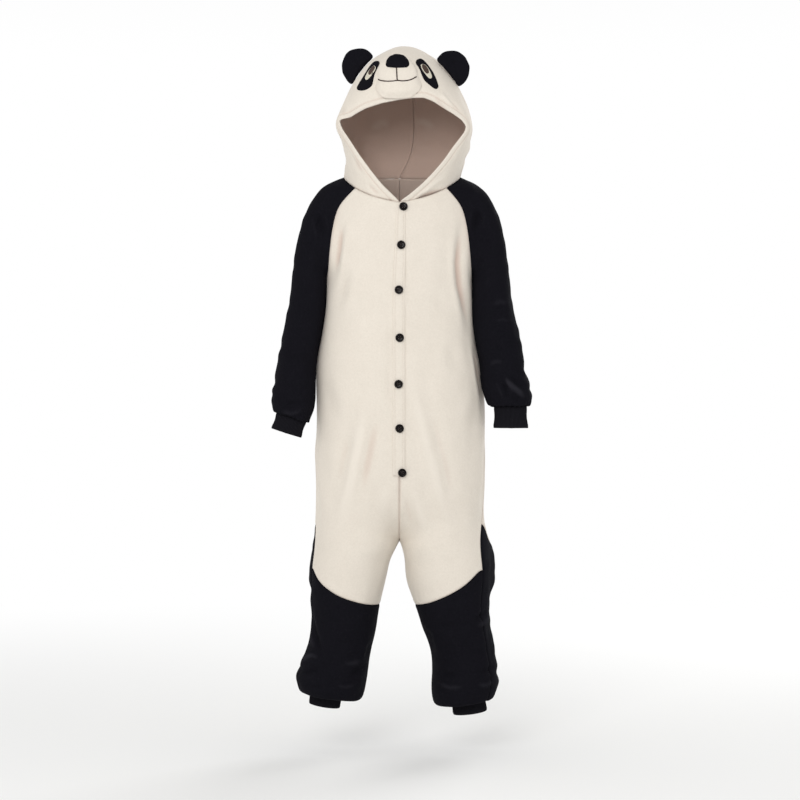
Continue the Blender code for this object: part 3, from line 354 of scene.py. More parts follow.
PATCH_LEFT = (
    (40.2, 258.9), (44.9, 257.9), (49.6, 254.1), (56.2, 247.2), (61.9, 239.6), (67.6, 231.1), (72.3, 221.7),
    (76.0, 212.3), (78.5, 203.8), (78.5, 199.1), (75.1, 196.3), (70.4, 197.2), (64.7, 201.0), (58.1, 206.6),
    (51.5, 212.3), (47.2, 218.9), (44.0, 226.4), (41.2, 234.0), (37.4, 241.5), (33.2, 247.2), (32.1, 251.9),
    (34.6, 256.6),
)
WHITE_RIGHT = (
    (-54.9, 244.4), (-52.1, 244.0), (-49.6, 241.1), (-50.2, 237.5), (-53.7, 230.9), (-58.2, 224.7), (-63.1, 219.0),
    (-67.2, 215.5), (-70.5, 215.7), (-71.9, 218.4), (-70.9, 222.7), (-68.1, 228.4), (-64.4, 234.2), (-59.9, 239.9),
)
IRIS_RIGHT = (
    (-56.2, 244.0), (-52.9, 243.8), (-51.2, 241.1), (-52.1, 237.5), (-54.9, 232.9), (-58.6, 228.4), (-61.9, 225.4),
    (-64.4, 226.0), (-65.2, 228.8), (-64.8, 232.1), (-62.3, 236.6), (-59.4, 240.7),
)
WHITE_LEFT = (
    (42.6, 245.6), (45.1, 247.7), (49.6, 247.3), (54.1, 244.0), (58.2, 238.7), (61.9, 232.1), (64.8, 225.6),
    (65.8, 221.1), (64.0, 218.2), (60.7, 218.0), (56.6, 221.1), (51.7, 227.2), (46.7, 234.2), (43.5, 240.7),
)
IRIS_LEFT = (
    (45.1, 246.5), (48.0, 247.3), (52.1, 245.2), (55.8, 241.1), (58.6, 235.8), (59.6, 231.3), (58.2, 228.4),
    (54.9, 228.0), (50.8, 231.3), (47.6, 236.2), (45.1, 241.6),
)

# How far the arm's weight presses a sleeve's inner side towards the body: height, right and left, in millimetres
PRESSED = (
    (-170, 0, 0), (-182, 4, 4), (-196, 8, 8), (-216, 11, 11), (-246, 12, 12), (-302, 11, 13), (-339, 10, 13),
    (-394, 9, 12), (-420, 8, 8.5), (-438, 7, 4), (-456, 4, 1), (-470, 0, 0), (-482, -3, 0), (-496, -4, 0),
)

# The buttons' middles as seen from in front, in millimetres on the plane y = 0, from the top
BUTTONS = (
    (7.0, -44.5), (2.5, -123.1), (-2.3, -215.1), (-0.6, -313.5), (-2.9, -408.6), (-0.8, -499.4), (4.5, -590.2),
)

# The solids' walls and the heights of their edge faces, in millimetres
FLEECE_WALL, CUFF_WALL, HOOD_WALL, PAD_RIM, STRIP_RIM = 2.4, 2.8, 2.1, 1.2, 2.2
SUIT_CUTS = (
    Cut("front_right", FLEECE_WALL, (0.321, 0.879), 0.1802, Finish.CREAM, "hung"),
    Cut("front_left", FLEECE_WALL, (0.317, 0.877), 0.1756, Finish.CREAM, "hung"),
    Cut("back_right", FLEECE_WALL, (0.318, 0.872), 0.1605, Finish.CREAM, "hung"),
    Cut("back_left", FLEECE_WALL, (0.359, 0.868), 0.1652, Finish.CREAM, "hung"),
    Cut("shin_front_right", FLEECE_WALL, (0.257, 0.290), 0.0539, Finish.BLACK, "hung"),
    Cut("shin_front_left", FLEECE_WALL, (0.233, 0.310), 0.0477, Finish.BLACK, "hung"),
    Cut("leg_back_right", FLEECE_WALL, (0.315, 0.390), 0.0872, Finish.BLACK, "hung"),
    Cut("leg_back_left", FLEECE_WALL, (0.375, 0.426), 0.1030, Finish.BLACK, "hung"),
    Cut("sleeve_right", FLEECE_WALL, (0.643, 0.555), 0.1265, Finish.BLACK, "hung"),
    Cut("sleeve_left", FLEECE_WALL, (0.642, 0.539), 0.1257, Finish.BLACK, "hung"),
)
HOOD_CUTS = (
    Cut("hood_face", HOOD_WALL, (0.706, 0.169), 0.0712, Finish.CREAM, "draped"),
    Cut("hood_back_right", HOOD_WALL, (0.342, 0.382), 0.0574, Finish.CREAM, "draped"),
    Cut("hood_back_left", HOOD_WALL, (0.342, 0.383), 0.0627, Finish.CREAM, "draped"),
)
CUFF_CUTS = (
    Cut("wrist_cuff_right", CUFF_WALL, (0.190, 0.035), 0.0065, Finish.RIB, "stretched"),
    Cut("wrist_cuff_left", CUFF_WALL, (0.204, 0.045), 0.0090, Finish.RIB, "stretched"),
    Cut("ankle_cuff_right", CUFF_WALL, (0.243, 0.024), 0.0058, Finish.RIB, "stretched"),
    Cut("ankle_cuff_left", CUFF_WALL, (0.258, 0.027), 0.0069, Finish.RIB, "stretched"),
)


def smoothstep(low: float, high: float, value: Points) -> Points:
    """A soft step from 0 at low to 1 at high."""
    t = np.clip((value - low) / (high - low), 0.0, 1.0)
    return t * t * (3 - 2 * t)


def bell(value: Points, width: float) -> Points:
    """A soft bump: 1 at 0, and nearly 0 from two widths on."""
    return np.exp(-((value / width) ** 2))


class Bench:
    """The moves that every piece is made with."""

    @staticmethod
    def take(*pieces: Piece) -> None:
        """Selects these pieces alone, the first of them active."""
        for other in bpy.context.view_layer.objects:
            other.select_set(False)
        for piece in pieces:
            piece.select_set(True)
        bpy.context.view_layer.objects.active = pieces[0]

    @staticmethod
    @contextmanager
    def editing(piece: Piece) -> Iterator[None]:
        """Edit mode on this piece, with all of it selected.

        Args:
            piece: the piece.
        """
        Bench.take(piece)
        bpy.ops.object.mode_set(mode="EDIT")
        bpy.ops.mesh.select_all(action="SELECT")
        yield
        bpy.ops.object.mode_set(mode="OBJECT")

    @staticmethod
    def place(name: str, data: bpy.types.ID) -> Piece:
        """A new object of this mesh, curve, light or camera, at the origin."""
        piece = bpy.data.objects.new(name, data)
        bpy.context.scene.collection.objects.link(piece)
        return piece

    @staticmethod
    def sheet(name: str, points: list, cells: list) -> Piece:
        """A new object of these points and cells."""
        mesh = bpy.data.meshes.new(name)
        mesh.from_pydata([tuple(point) for point in points], [], cells)
        return Bench.place(name, mesh)

    @staticmethod
    def grid(rows: int, columns: int) -> list[tuple[int, ...]]:
        """The cells of a grid whose rows each close to a ring."""
        ring = [(c, (c + 1) % columns) for c in range(columns)]
        return [
            (r * columns + a, r * columns + b, (r + 1) * columns + b, (r + 1) * columns + a)
            for r in range(rows)
            for a, b in ring
        ]

    @staticmethod
    def read(items: bpy.types.bpy_prop_collection, name: str) -> Points:
        """A value of three numbers, for each of these items."""
        flat = np.empty(len(items) * 3)
        items.foreach_get(name, flat)
        return flat.reshape(-1, 3)

    @staticmethod
    def points(piece: Piece) -> Points:
        """The piece's points, in metres."""
        return Bench.read(piece.data.vertices, "co")

    @staticmethod
    def normals(piece: Piece) -> Points:
        """The piece's normals, one for each point."""
        return Bench.read(piece.data.vertex_normals, "vector")

    @staticmethod
    def move(piece: Piece, points: Points) -> None:
        """Puts the piece's points at these places."""
        piece.data.vertices.foreach_set("co", np.ascontiguousarray(points, dtype=float).ravel())
        piece.data.update()

    @staticmethod
    def mark(piece: Piece, values: Points, name: str = "crease") -> None:
        """Gives each point a value that the piece's material reads, by default its painted shade."""
        piece.data.attributes.new(name, "FLOAT", "POINT").data.foreach_set("value", values)

    @staticmethod
    def finish_with(piece: Piece, kind: str, **settings: object) -> None:
        """Adds a modifier with these settings and applies it.

        Args:
            piece: the piece.
            kind: the modifier's kind.
            settings: its settings.
        """
        Bench.take(piece)
        modifier = piece.modifiers.new(kind.lower(), kind)
        for name, value in settings.items():
            setattr(modifier, name, value)
        bpy.ops.object.modifier_apply(modifier=modifier.name)

    @staticmethod
    def thicken(piece: Piece, thickness: float, **settings: object) -> None:
        """Gives a sheet its thickness, in millimetres, on its inner side."""
        Bench.finish_with(piece, "SOLIDIFY", thickness=thickness * MM, offset=-1.0, **settings)

    @staticmethod
    def shade(piece: Piece) -> None:
        """Shades the piece smooth."""
        Bench.take(piece)
        bpy.ops.object.shade_smooth()

    @staticmethod
    def smooth(piece: Piece, levels: int) -> None:
        """Subdivides the piece smoothly and shades it smooth."""
        Bench.finish_with(
            piece, "SUBSURF", levels=levels, render_levels=levels, boundary_smooth="PRESERVE_CORNERS"
        )
        Bench.shade(piece)

    @staticmethod
    def surface(piece: Piece) -> BVHTree:
        """A search tree of the piece's surface."""
        return BVHTree.FromPolygons(
            [v.co.copy() for v in piece.data.vertices], [tuple(p.vertices) for p in piece.data.polygons]
        )

    @staticmethod
    def near(points: Points) -> kdtree.KDTree:
        """A search tree of these points.

        Args:
            points: the points, in metres.

        Returns:
            The tree.
        """
        tree = kdtree.KDTree(len(points))
        for i, point in enumerate(points):
            tree.insert(point, i)
        tree.balance()
        return tree

    @staticmethod
    def rim(piece: Piece) -> Points:
        """The points of a sheet's free edges.

        Args:
            piece: the sheet.

        Returns:
            The points, in metres.
        """
        form = bmesh.new()
        form.from_mesh(piece.data)
        rim = [v.index for v in form.verts if v.is_boundary]
        form.free()
        return Bench.points(piece)[rim]

    @staticmethod
    def forward(normal: Vector) -> Vector:
        """A normal, turned round if it points to the back."""
        return normal if normal.y < 0 else -normal

    @staticmethod
    def sight(surface: BVHTree, x: float, z: float) -> Place:
        """Where the line of sight through a place on the plane y = 0 meets a surface, with the normal there.

        Args:
            surface: the surface's search tree.
            x: the place across, in millimetres.
            z: its height, in millimetres.

        Returns:
            The place that it meets, and the normal.
        """
        eye = Vector((0, -Studio.distance, Studio.eye_height))
        way = (Vector((x * MM, 0, z * MM)) - eye).normalized()
        place, normal, _, _ = surface.ray_cast(eye, way)
        if place is None:
            place, normal, _, _ = surface.find_nearest(eye + way * (Studio.distance - 0.11))
        return place, Bench.forward(normal)

    @staticmethod
    def seen(points: Points) -> Points:
        """Where points are seen from the camera, in millimetres on the plane y = 0.

        Args:
            points: the points, in metres.

        Returns:
            Each point's place across and its height.
        """
        depth = (Studio.distance + points[:, 1]) / Studio.distance
        eye = Studio.eye_height
        return np.stack([points[:, 0] / depth, (points[:, 2] - eye) / depth + eye], axis=1) / MM

    @staticmethod
    def reach_at(edge: Points, turns: Points) -> Points:
        """How far an edge is from the origin at these angles.

        Args:
            edge: the edge's points, in two numbers each.
            turns: the angles, in radians.

        Returns:
            The distance at each angle.
        """
        at = np.arctan2(edge[:, 1], edge[:, 0])
        order = np.argsort(at)
        return np.interp(turns, at[order], np.linalg.norm(edge, axis=1)[order], period=2 * math.pi)

    @staticmethod
    def distances(points: Points, targets: Points) -> Points:
        """How far each point is from the nearest target, in millimetres."""
        tree = Bench.near(targets)
        return np.array([tree.find(point)[2] for point in points]) / MM


class Pattern:
    """Takes the outer face of a CAD piece, as quads, for a cut piece to be made from."""

    WELD = 5e-5
    RIM_TOLERANCE = 1e-5
    QUADS = 1.2

    @staticmethod
    def outer_face(node: Piece, rim: float) -> Piece:
        """The outer face alone of a cloth wall or pad.

        Args:
            node: the CAD piece, which stays as it is.
            rim: the height of its edge faces, in millimetres.

        Returns:
            A new object with the face's cells as quads.
        """
        piece = Pattern.copy(node, f"{node.name}_cloth")
        with Bench.editing(piece):
            form = bmesh.from_edit_mesh(piece.data)
            edge_faces = {
                face
                for edge in form.edges
                if abs(edge.calc_length() - rim * MM) < Pattern.RIM_TOLERANCE
                for face in edge.link_faces
            }
            bmesh.ops.delete(form, geom=list(edge_faces), context="FACES")
            outer = Pattern.largest(form)
            bmesh.ops.delete(form, geom=[f for f in form.faces if f not in outer], context="FACES")
            bmesh.ops.delete(form, geom=[v for v in form.verts if not v.link_faces], context="VERTS")
            for part in (form.faces, form.edges, form.verts):
                for item in part:
                    item.select = False
            diagonals = Pattern.diagonals(form)
            for edge in diagonals:
                edge.select = True
            bmesh.update_edit_mesh(piece.data)
            if diagonals:
                bpy.ops.mesh.dissolve_edges(use_verts=False)
            else:
                bpy.ops.mesh.select_all(action="SELECT")
                bpy.ops.mesh.tris_convert_to_quads(face_threshold=Pattern.QUADS, shape_threshold=Pattern.QUADS)
        return piece

    @staticmethod
    def copy(node: Piece, name: str) -> Piece:
        """A copy of a CAD piece without its materials and custom normals, its doubles merged.

        Args:
            node: the CAD piece, which stays as it is.
            name: the copy's name.

        Returns:
            The copy.
        """
        mesh = node.data.copy()
        mesh.materials.clear()
        piece = Bench.place(name, mesh)
        with Bench.editing(piece):
            bpy.ops.mesh.customdata_custom_splitnormals_clear()
            bpy.ops.mesh.remove_doubles(threshold=Pattern.WELD)
        return piece

    @staticmethod
    def largest(form: bmesh.types.BMesh) -> set[bmesh.types.BMFace]:
        """The faces of the largest connected part, which is the outer of the two.

        Args:
            form: the mesh.

        Returns:
            The faces.
        """
        best: set[bmesh.types.BMFace] = set()
        most, seen = 0.0, set()
        for first in form.faces:
            if first in seen:
                continue
            part, queue = {first}, [first]
            while queue:
                for edge in queue.pop().edges:
                    for face in edge.link_faces:
                        if face not in part:
                            part.add(face)
                            queue.append(face)
            seen |= part
            area = sum(face.calc_area() for face in part)
            if area > most:
                best, most = part, area
        return best

    @staticmethod
    def diagonals(form: bmesh.types.BMesh) -> list[bmesh.types.BMEdge]:
        """The edges that split the cells. Around every triangle, row, column and diagonal follow in turn.

        Args:
            form: the mesh, all in triangles.

        Returns:
            The edges, or none where every kind of edge is also on the rim.
        """
        form.faces.ensure_lookup_table()
        first = form.faces[0]
        kinds = {loop.edge: i for i, loop in enumerate(first.loops)}
        seen, queue = {first}, [first]
        while queue:
            for loop in queue.pop().loops:
                for other in loop.edge.link_loops:
                    if other.face in seen:
                        continue
                    seen.add(other.face)
                    queue.append(other.face)
                    after = other.link_loop_next
                    kinds[after.edge] = (kinds[loop.edge] + 1) % 3
                    kinds[after.link_loop_next.edge] = (kinds[loop.edge] + 2) % 3
        rims = {kinds[edge] for edge in form.edges if edge.is_boundary}
        lengths = {
            kind: np.mean([e.calc_length() for e in form.edges if kinds[e] == kind])
            for kind in range(3)
            if kind not in rims
        }
        if not lengths:
            return []
        diagonal = max(lengths, key=lengths.get)
        return [edge for edge in form.edges if kinds[edge] == diagonal]


class Drape:
    """Folds and seams, as moves of a cloth's points along its normals, in millimetres."""

    FACING = (0.05, 0.45)
    END = 0.40
    SHOULDER_LOBE = 0.30

    @staticmethod
    def fold(points: Points, normals: Points, fold: Fold) -> Points:
        """How far one fold lifts each point, in millimetres.

        Args:
            points: the cloth's points, in metres.
            normals: their normals.
            fold: the fold.

        Returns:
            The lift of each point.
        """
        a, b, way = fold.view.value
        flat = points[:, (a, b)] / MM
        line = np.array(fold.line, float)
        reach = 3.2 * fold.width
        low, high = line.min(axis=0) - reach, line.max(axis=0) + reach
        near = np.flatnonzero(((flat > low) & (flat < high)).all(axis=1))
        lift = np.zeros(len(points))
        if not len(near):
            return lift
        spot = flat[near]
        steps = np.linalg.norm(np.diff(line, axis=0), axis=1)
        starts = np.concatenate([[0], np.cumsum(steps)])
        best, along = np.full(len(near), 1e9), np.zeros(len(near))
        for i, step in enumerate(steps):
            ray = (line[i + 1] - line[i]) / step
            t = np.clip((spot - line[i]) @ ray, 0, step)
            away = np.linalg.norm(spot - line[i] - t[:, None] * ray, axis=1)
            closer = away < best
            best = np.where(closer, away, best)
            along = np.where(closer, starts[i] + t, along)
        share = along / starts[-1]
        taper = smoothstep(0, Drape.END, share) * smoothstep(0, Drape.END, 1 - share)
        facing = smoothstep(*Drape.FACING, normals[near] @ np.array(way))
        if way[0]:
            facing = facing * (points[near, 0] * way[0] > 0)
        core = bell(best, fold.width)
        lobe = bell(best - 1.9 * fold.width, 0.8 * fold.width)
        lift[near] = fold.height * taper * facing * (core - Drape.SHOULDER_LOBE * lobe)
        return lift

    @staticmethod
    def folds(points: Points, normals: Points, folds: tuple[Fold, ...]) -> Points:
        """How far all these folds together lift each point."""
        return sum((Drape.fold(points, normals, fold) for fold in folds), np.zeros(len(points)))

    @staticmethod
    def swell(points: Points, wave: float, height: float, stretch: tuple[float, float, float]) -> Points:
        """A gentle unevenness, the same on each run.

        Args:
            points: the cloth's points, in metres.
            wave: the length of its waves, in millimetres.
            height: about how far it lifts, in millimetres.
            stretch: how much longer the waves are along each axis.

        Returns:
            The lift of each point, in millimetres.
        """
        spot = points / MM / wave / np.array(stretch) * 2 * math.pi
        total = np.zeros(len(points))
        for k in range(7):
            turn = 2.399 * k
            way = np.array([math.cos(turn), math.sin(1.7 * turn), math.sin(turn)])
            total += np.sin(spot @ way * (0.7 + 0.11 * k) + 1.9 * k)
        return total * height / 2.6

    @staticmethod
    def seam(away: Points, depth: float, puff: float) -> Points:
        """A seam's groove and the soft roll beside it, from the distance to the seam."""
        return -depth * bell(away, 2.4) + puff * bell(away - 7.5, 3.4)


class Recipe:
    """A node tree that is being put together."""

    def __init__(self, tree: bpy.types.NodeTree) -> None:
        """Starts with the tree of a group, a material or a world."""
        self.tree = tree

    def feed(self, node: bpy.types.Node, inputs: dict) -> bpy.types.NodeOutputs:
        """Sets a node's inputs, or links them.

        Args:
            node: the node.
            inputs: for each input's name, a number or colour, or another node's output.

        Returns:
            The node's outputs.
        """
        for name, value in inputs.items():
            if isinstance(value, bpy.types.NodeSocket):
                self.tree.links.new(value, node.inputs[name])
            else:
                node.inputs[name].default_value = value
        return node.outputs

    def add(self, kind: str, inputs: dict, **settings: object) -> bpy.types.NodeOutputs:
        """Adds a shader node.

        Args:
            kind: its kind.
            inputs: what its inputs are fed with.
            settings: its settings.

        Returns:
            Its outputs.
        """
        node = self.tree.nodes.new(f"ShaderNode{kind}")
        for name, value in settings.items():
            setattr(node, name, value)
        return self.feed(node, inputs)

    def place(self) -> bpy.types.NodeSocket:
        """The place on the object."""
        return self.add("TexCoord", {})["Object"]

    def noise(self, scale: object, detail: float, roughness: float = 0.5) -> bpy.types.NodeSocket:
        """A cloudy noise over the object."""
        inputs = {"Vector": self.place(), "Scale": scale, "Detail": detail, "Roughness": roughness}
        return self.add("TexNoise", inputs)["Fac"]

    def mix(self, factor: object, a: object, b: object, kind: str = "RGBA") -> bpy.types.NodeSocket:
        """A mix of two colours, or of two numbers."""
        return self.add("Mix", {"Factor": factor, "A": a, "B": b}, data_type=kind)["Result"]

    def bump(self, height: bpy.types.NodeSocket, strength: float, depth: float) -> bpy.types.NodeSocket:
        """The normal of a relief, its depth in millimetres."""
        return self.add("Bump", {"Strength": strength, "Distance": depth * MM, "Height": height})["Normal"]


class Weaver:
    """The shared node group and the materials made with it."""

    def __init__(self) -> None:
        """Makes the pile's group."""
        self.pile = self.make_pile()
        self.made: dict[Finish, bpy.types.Material] = {}

    @staticmethod
    def make_pile() -> bpy.types.ShaderNodeTree:
        """The group of a brushed pile: short fibres in soft tufts, with their colour and height.

        Returns:
            The group.
        """
        group = bpy.data.node_groups.new("brushed_pile", "ShaderNodeTree")
        for name, kind, start in (
            ("Light", "NodeSocketColor", (0.8, 0.8, 0.8, 1)),
            ("Deep", "NodeSocketColor", (0.5, 0.5, 0.5, 1)),
            ("Fibre Scale", "NodeSocketFloat", 1100.0),
            ("Tuft Scale", "NodeSocketFloat", 260.0),
            ("Patch Scale", "NodeSocketFloat", 24.0),
        ):
            socket = group.interface.new_socket(name, in_out="INPUT", socket_type=kind)
            socket.default_value = start
        for name, kind in (("Color", "NodeSocketColor"), ("Height", "NodeSocketFloat")):
            group.interface.new_socket(name, in_out="OUTPUT", socket_type=kind)
        recipe = Recipe(group)
        given = group.nodes.new("NodeGroupInput").outputs
        fibre, tuft, patch = (
            recipe.noise(given[name], detail, 0.65)
            for name, detail in (("Fibre Scale", 3.0), ("Tuft Scale", 4.0), ("Patch Scale", 3.0))
        )
        height = recipe.mix(0.45, fibre, tuft, "FLOAT")
        mottle = recipe.mix(0.16, height, patch, "FLOAT")
        light = recipe.add("MapRange", {"From Min": 0.34, "From Max": 0.66, "Value": mottle})["Result"]
        colour = recipe.mix(light, given["Deep"], given["Light"])
        recipe.feed(group.nodes.new("NodeGroupOutput"), {"Color": colour, "Height": height})
        return group

    def material(self, finish: Finish) -> bpy.types.Material:
        """The material of a finish, made once."""
        if finish not in self.made:
            self.made[finish] = FINISHES[finish].make(finish.value, self)
        return self.made[finish]


@dataclass(frozen=True)
class Look:
    """How a finish looks."""

    def make(self, name: str, weaver: Weaver) -> bpy.types.Material:
        """Makes the material.

        Args:
            name: the material's name.
            weaver: holds the shared group.

        Returns:
            The new material.
        """
        made = bpy.data.materials.new(name)
        made.use_nodes = True
        recipe = Recipe(made.node_tree)
        recipe.feed(made.node_tree.nodes["Principled BSDF"], self.inputs(recipe, weaver))
        return made


@dataclass(frozen=True)
class Fleece(Look):
    """Brushed fleece: a soft pile, with a warm painted shade in its creases and a painted highlight on its fold
    ridges, and a sheen at its edges.
    """

    light: Colour
    deep: Colour
    # The colour of the painted shade in creases, seams and grooves
    crease: Colour
    # The colour of the painted highlight on fold ridges
    ridge: Colour
    bump: float
    sheen: float
    sheen_tint: Colour
    gloss: float = 0.18
    fibre_scale: float = 1100.0
    tuft_scale: float = 260.0

    def inputs(self, recipe: Recipe, weaver: Weaver) -> dict:
        """The shader's inputs, from the pile's group and the painted shade and painted highlights marked on the
        cloth.

        Args:
            recipe: the material's recipe.
            weaver: holds the shared group.

        Returns:
            The inputs by name.
        """
        scales = {"Fibre Scale": self.fibre_scale, "Tuft Scale": self.tuft_scale}
        colours = {"Light": (*self.light, 1), "Deep": (*self.deep, 1)}
        pile = recipe.add("Group", colours | scales, node_tree=weaver.pile)
        colour = pile["Color"]
        # Mixes in the painted shade and the painted highlight, as far as the cloth's marks reach
        for name, tint in (("crease", self.crease), ("ridge", self.ridge)):
            mark = recipe.add("Attribute", {}, attribute_name=name)["Fac"]
            colour = recipe.mix(mark, colour, (*tint, 1))
        return {
            "Base Color": colour,
            "Normal": recipe.bump(pile["Height"], 0.55, self.bump),
            "Roughness": 0.95,
            "Specular IOR Level": self.gloss,
            "Sheen Weight": self.sheen,
            "Sheen Roughness": 0.45,
            "Sheen Tint": (*self.sheen_tint, 1),
        }


@dataclass(frozen=True)
class Thread(Look):
    """Embroidery or sewing thread, or satin stitch: fine strands side by side."""

    colour: Colour
    roughness: float
    strands: float

    def inputs(self, recipe: Recipe, weaver: Weaver) -> dict:
        """The shader's inputs, with strands from a wave texture.

        Args:
            recipe: the material's recipe.
            weaver: holds the shared group; not used here.

        Returns:
            The inputs by name.
        """
        waves = {"Vector": recipe.place(), "Scale": self.strands, "Distortion": 1.5, "Detail": 2.0}
        wave = recipe.add("TexWave", waves, bands_direction="DIAGONAL")["Fac"]
        return {
            "Base Color": recipe.mix(wave, (*(0.62 * c for c in self.colour), 1), (*self.colour, 1)),
            "Normal": recipe.bump(wave, 0.6, 0.25),
            "Roughness": self.roughness,
            "Specular IOR Level": 0.2,
        }


@dataclass(frozen=True)
class Plastic(Look):
    """Moulded plastic with faint cloudy variation and handling marks in its gloss."""

    colour: Colour
    deep: Colour
    roughness: tuple[float, float]
    cloud_scale: float
    gloss: float = 0.5

    def inputs(self, recipe: Recipe, weaver: Weaver) -> dict:
        """The shader's inputs, with clouds in the colour and the gloss.

        Args:
            recipe: the material's recipe.
            weaver: holds the shared group; not used here.

        Returns:
            The inputs by name.
        """
        cloud = recipe.noise(self.cloud_scale, 4.0)
        low, high = self.roughness
        return {
            "Base Color": recipe.mix(cloud, (*self.deep, 1), (*self.colour, 1)),
            "Roughness": recipe.add("MapRange", {"To Min": low, "To Max": high, "Value": cloud})["Result"],
            "Specular IOR Level": self.gloss,
        }


@dataclass(frozen=True)
class PaleFloor(Look):
    """A pale studio floor that glows white from its far distance on, like the room round it."""

    colour: Colour
    near: float
    far: float

    def inputs(self, recipe: Recipe, weaver: Weaver) -> dict:
        """The shader's inputs, fading from its colour to the glow.

        Args:
            recipe: the material's recipe.
            weaver: holds the shared group; not used here.

        Returns:
            The inputs by name.
        """
        middle = recipe.add("VectorMath", {0: recipe.place()}, operation="LENGTH")["Value"]
        ends = {"From Min": self.near, "From Max": self.far, "Value": middle}
        fade = recipe.add("MapRange", ends, interpolation_type="SMOOTHSTEP")["Result"]
        return {
            "Emission Strength": fade,
            "Emission Color": (1, 1, 1, 1),
            "Base Color": recipe.mix(fade, (*self.colour, 1), (0, 0, 0, 1)),
            "Roughness": 0.8,
            "Specular IOR Level": 0.0,
        }


# Each fleece holds the colours of its painted shade in creases and of its painted highlight on fold ridges
FINISHES = {
    Finish.CREAM: Fleece(
        light=(0.725, 0.668, 0.590),
        deep=(0.630, 0.575, 0.500),
        crease=(0.46, 0.285, 0.225),
        ridge=(0.735, 0.680, 0.602),
        bump=0.9,
        sheen=0.35,
        sheen_tint=(1.0, 0.95, 0.88),
    ),
    Finish.BLACK: Fleece(
        light=(0.0084, 0.0080, 0.0110),
        deep=(0.0046, 0.0044, 0.0062),
        crease=(0.0018, 0.0017, 0.0024),
        ridge=(0.026, 0.025, 0.031),
        bump=0.9,
        sheen=0.009,
        sheen_tint=(0.55, 0.55, 0.68),
        gloss=0.03,
    ),
    Finish.RIB: Fleece(
        light=(0.0150, 0.0143, 0.0180),
        deep=(0.0085, 0.0081, 0.0104),
        crease=(0.0050, 0.0048, 0.0062),
        ridge=(0.026, 0.025, 0.031),
        bump=0.5,
        sheen=0.009,
        sheen_tint=(0.55, 0.55, 0.68),
        gloss=0.03,
        fibre_scale=1500.0,
        tuft_scale=700.0,
    ),
    Finish.PLASTIC: Plastic((0.0065, 0.0042, 0.0040), (0.0035, 0.0024, 0.0024), (0.10, 0.20), 160.0, 0.10),
    Finish.BROWN_THREAD: Thread((0.042, 0.020, 0.017), 0.7, 900.0),
    Finish.CREAM_THREAD: Thread((0.80, 0.73, 0.63), 0.7, 900.0),
    Finish.DARK_THREAD: Thread((0.03, 0.022, 0.02), 0.7, 900.0),
    Finish.BROWN_SATIN: Thread((0.085, 0.056, 0.044), 0.8, 420.0),
    Finish.CREAM_SATIN: Thread((0.78, 0.73, 0.60), 0.6, 420.0),
    Finish.FLOOR: PaleFloor((0.88, 0.88, 0.87), 0.9, 3.6),
}


@dataclass
class Workroom:
    """What all the sub-assemblies share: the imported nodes, the materials and the count of pieces."""

    nodes: dict[str, Piece]
    weaver: Weaver = field(default_factory=Weaver)
    done: list[Piece] = field(default_factory=list)

    def dress(self, piece: Piece, name: str, finish: Finish, replaced: tuple[str, ...] = ()) -> Piece:
        """Names a finished piece, gives it its material and mounts it on the suit.

        Args:
            piece: the finished piece.
            name: its name.
            finish: its finish.
            replaced: the CAD nodes that it stands for.

        Returns:
            The same piece.
        """
        piece.name = name
        piece.data.name = name
        piece.data.materials.clear()
        piece.data.materials.append(self.weaver.material(finish))
        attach(piece, BODY)
        if replaced:
            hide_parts(*replaced)
        self.done.append(piece)
        LOG.info("%s: %d faces", name, len(piece.data.polygons))
        return piece

    def dress_cut(self, piece: Piece, cut: Cut, ending: str) -> None:
        """Dresses a cut piece with its finish, in place of its CAD node."""
        self.dress(piece, f"{cut.node}_{ending}", cut.finish, (cut.node,))


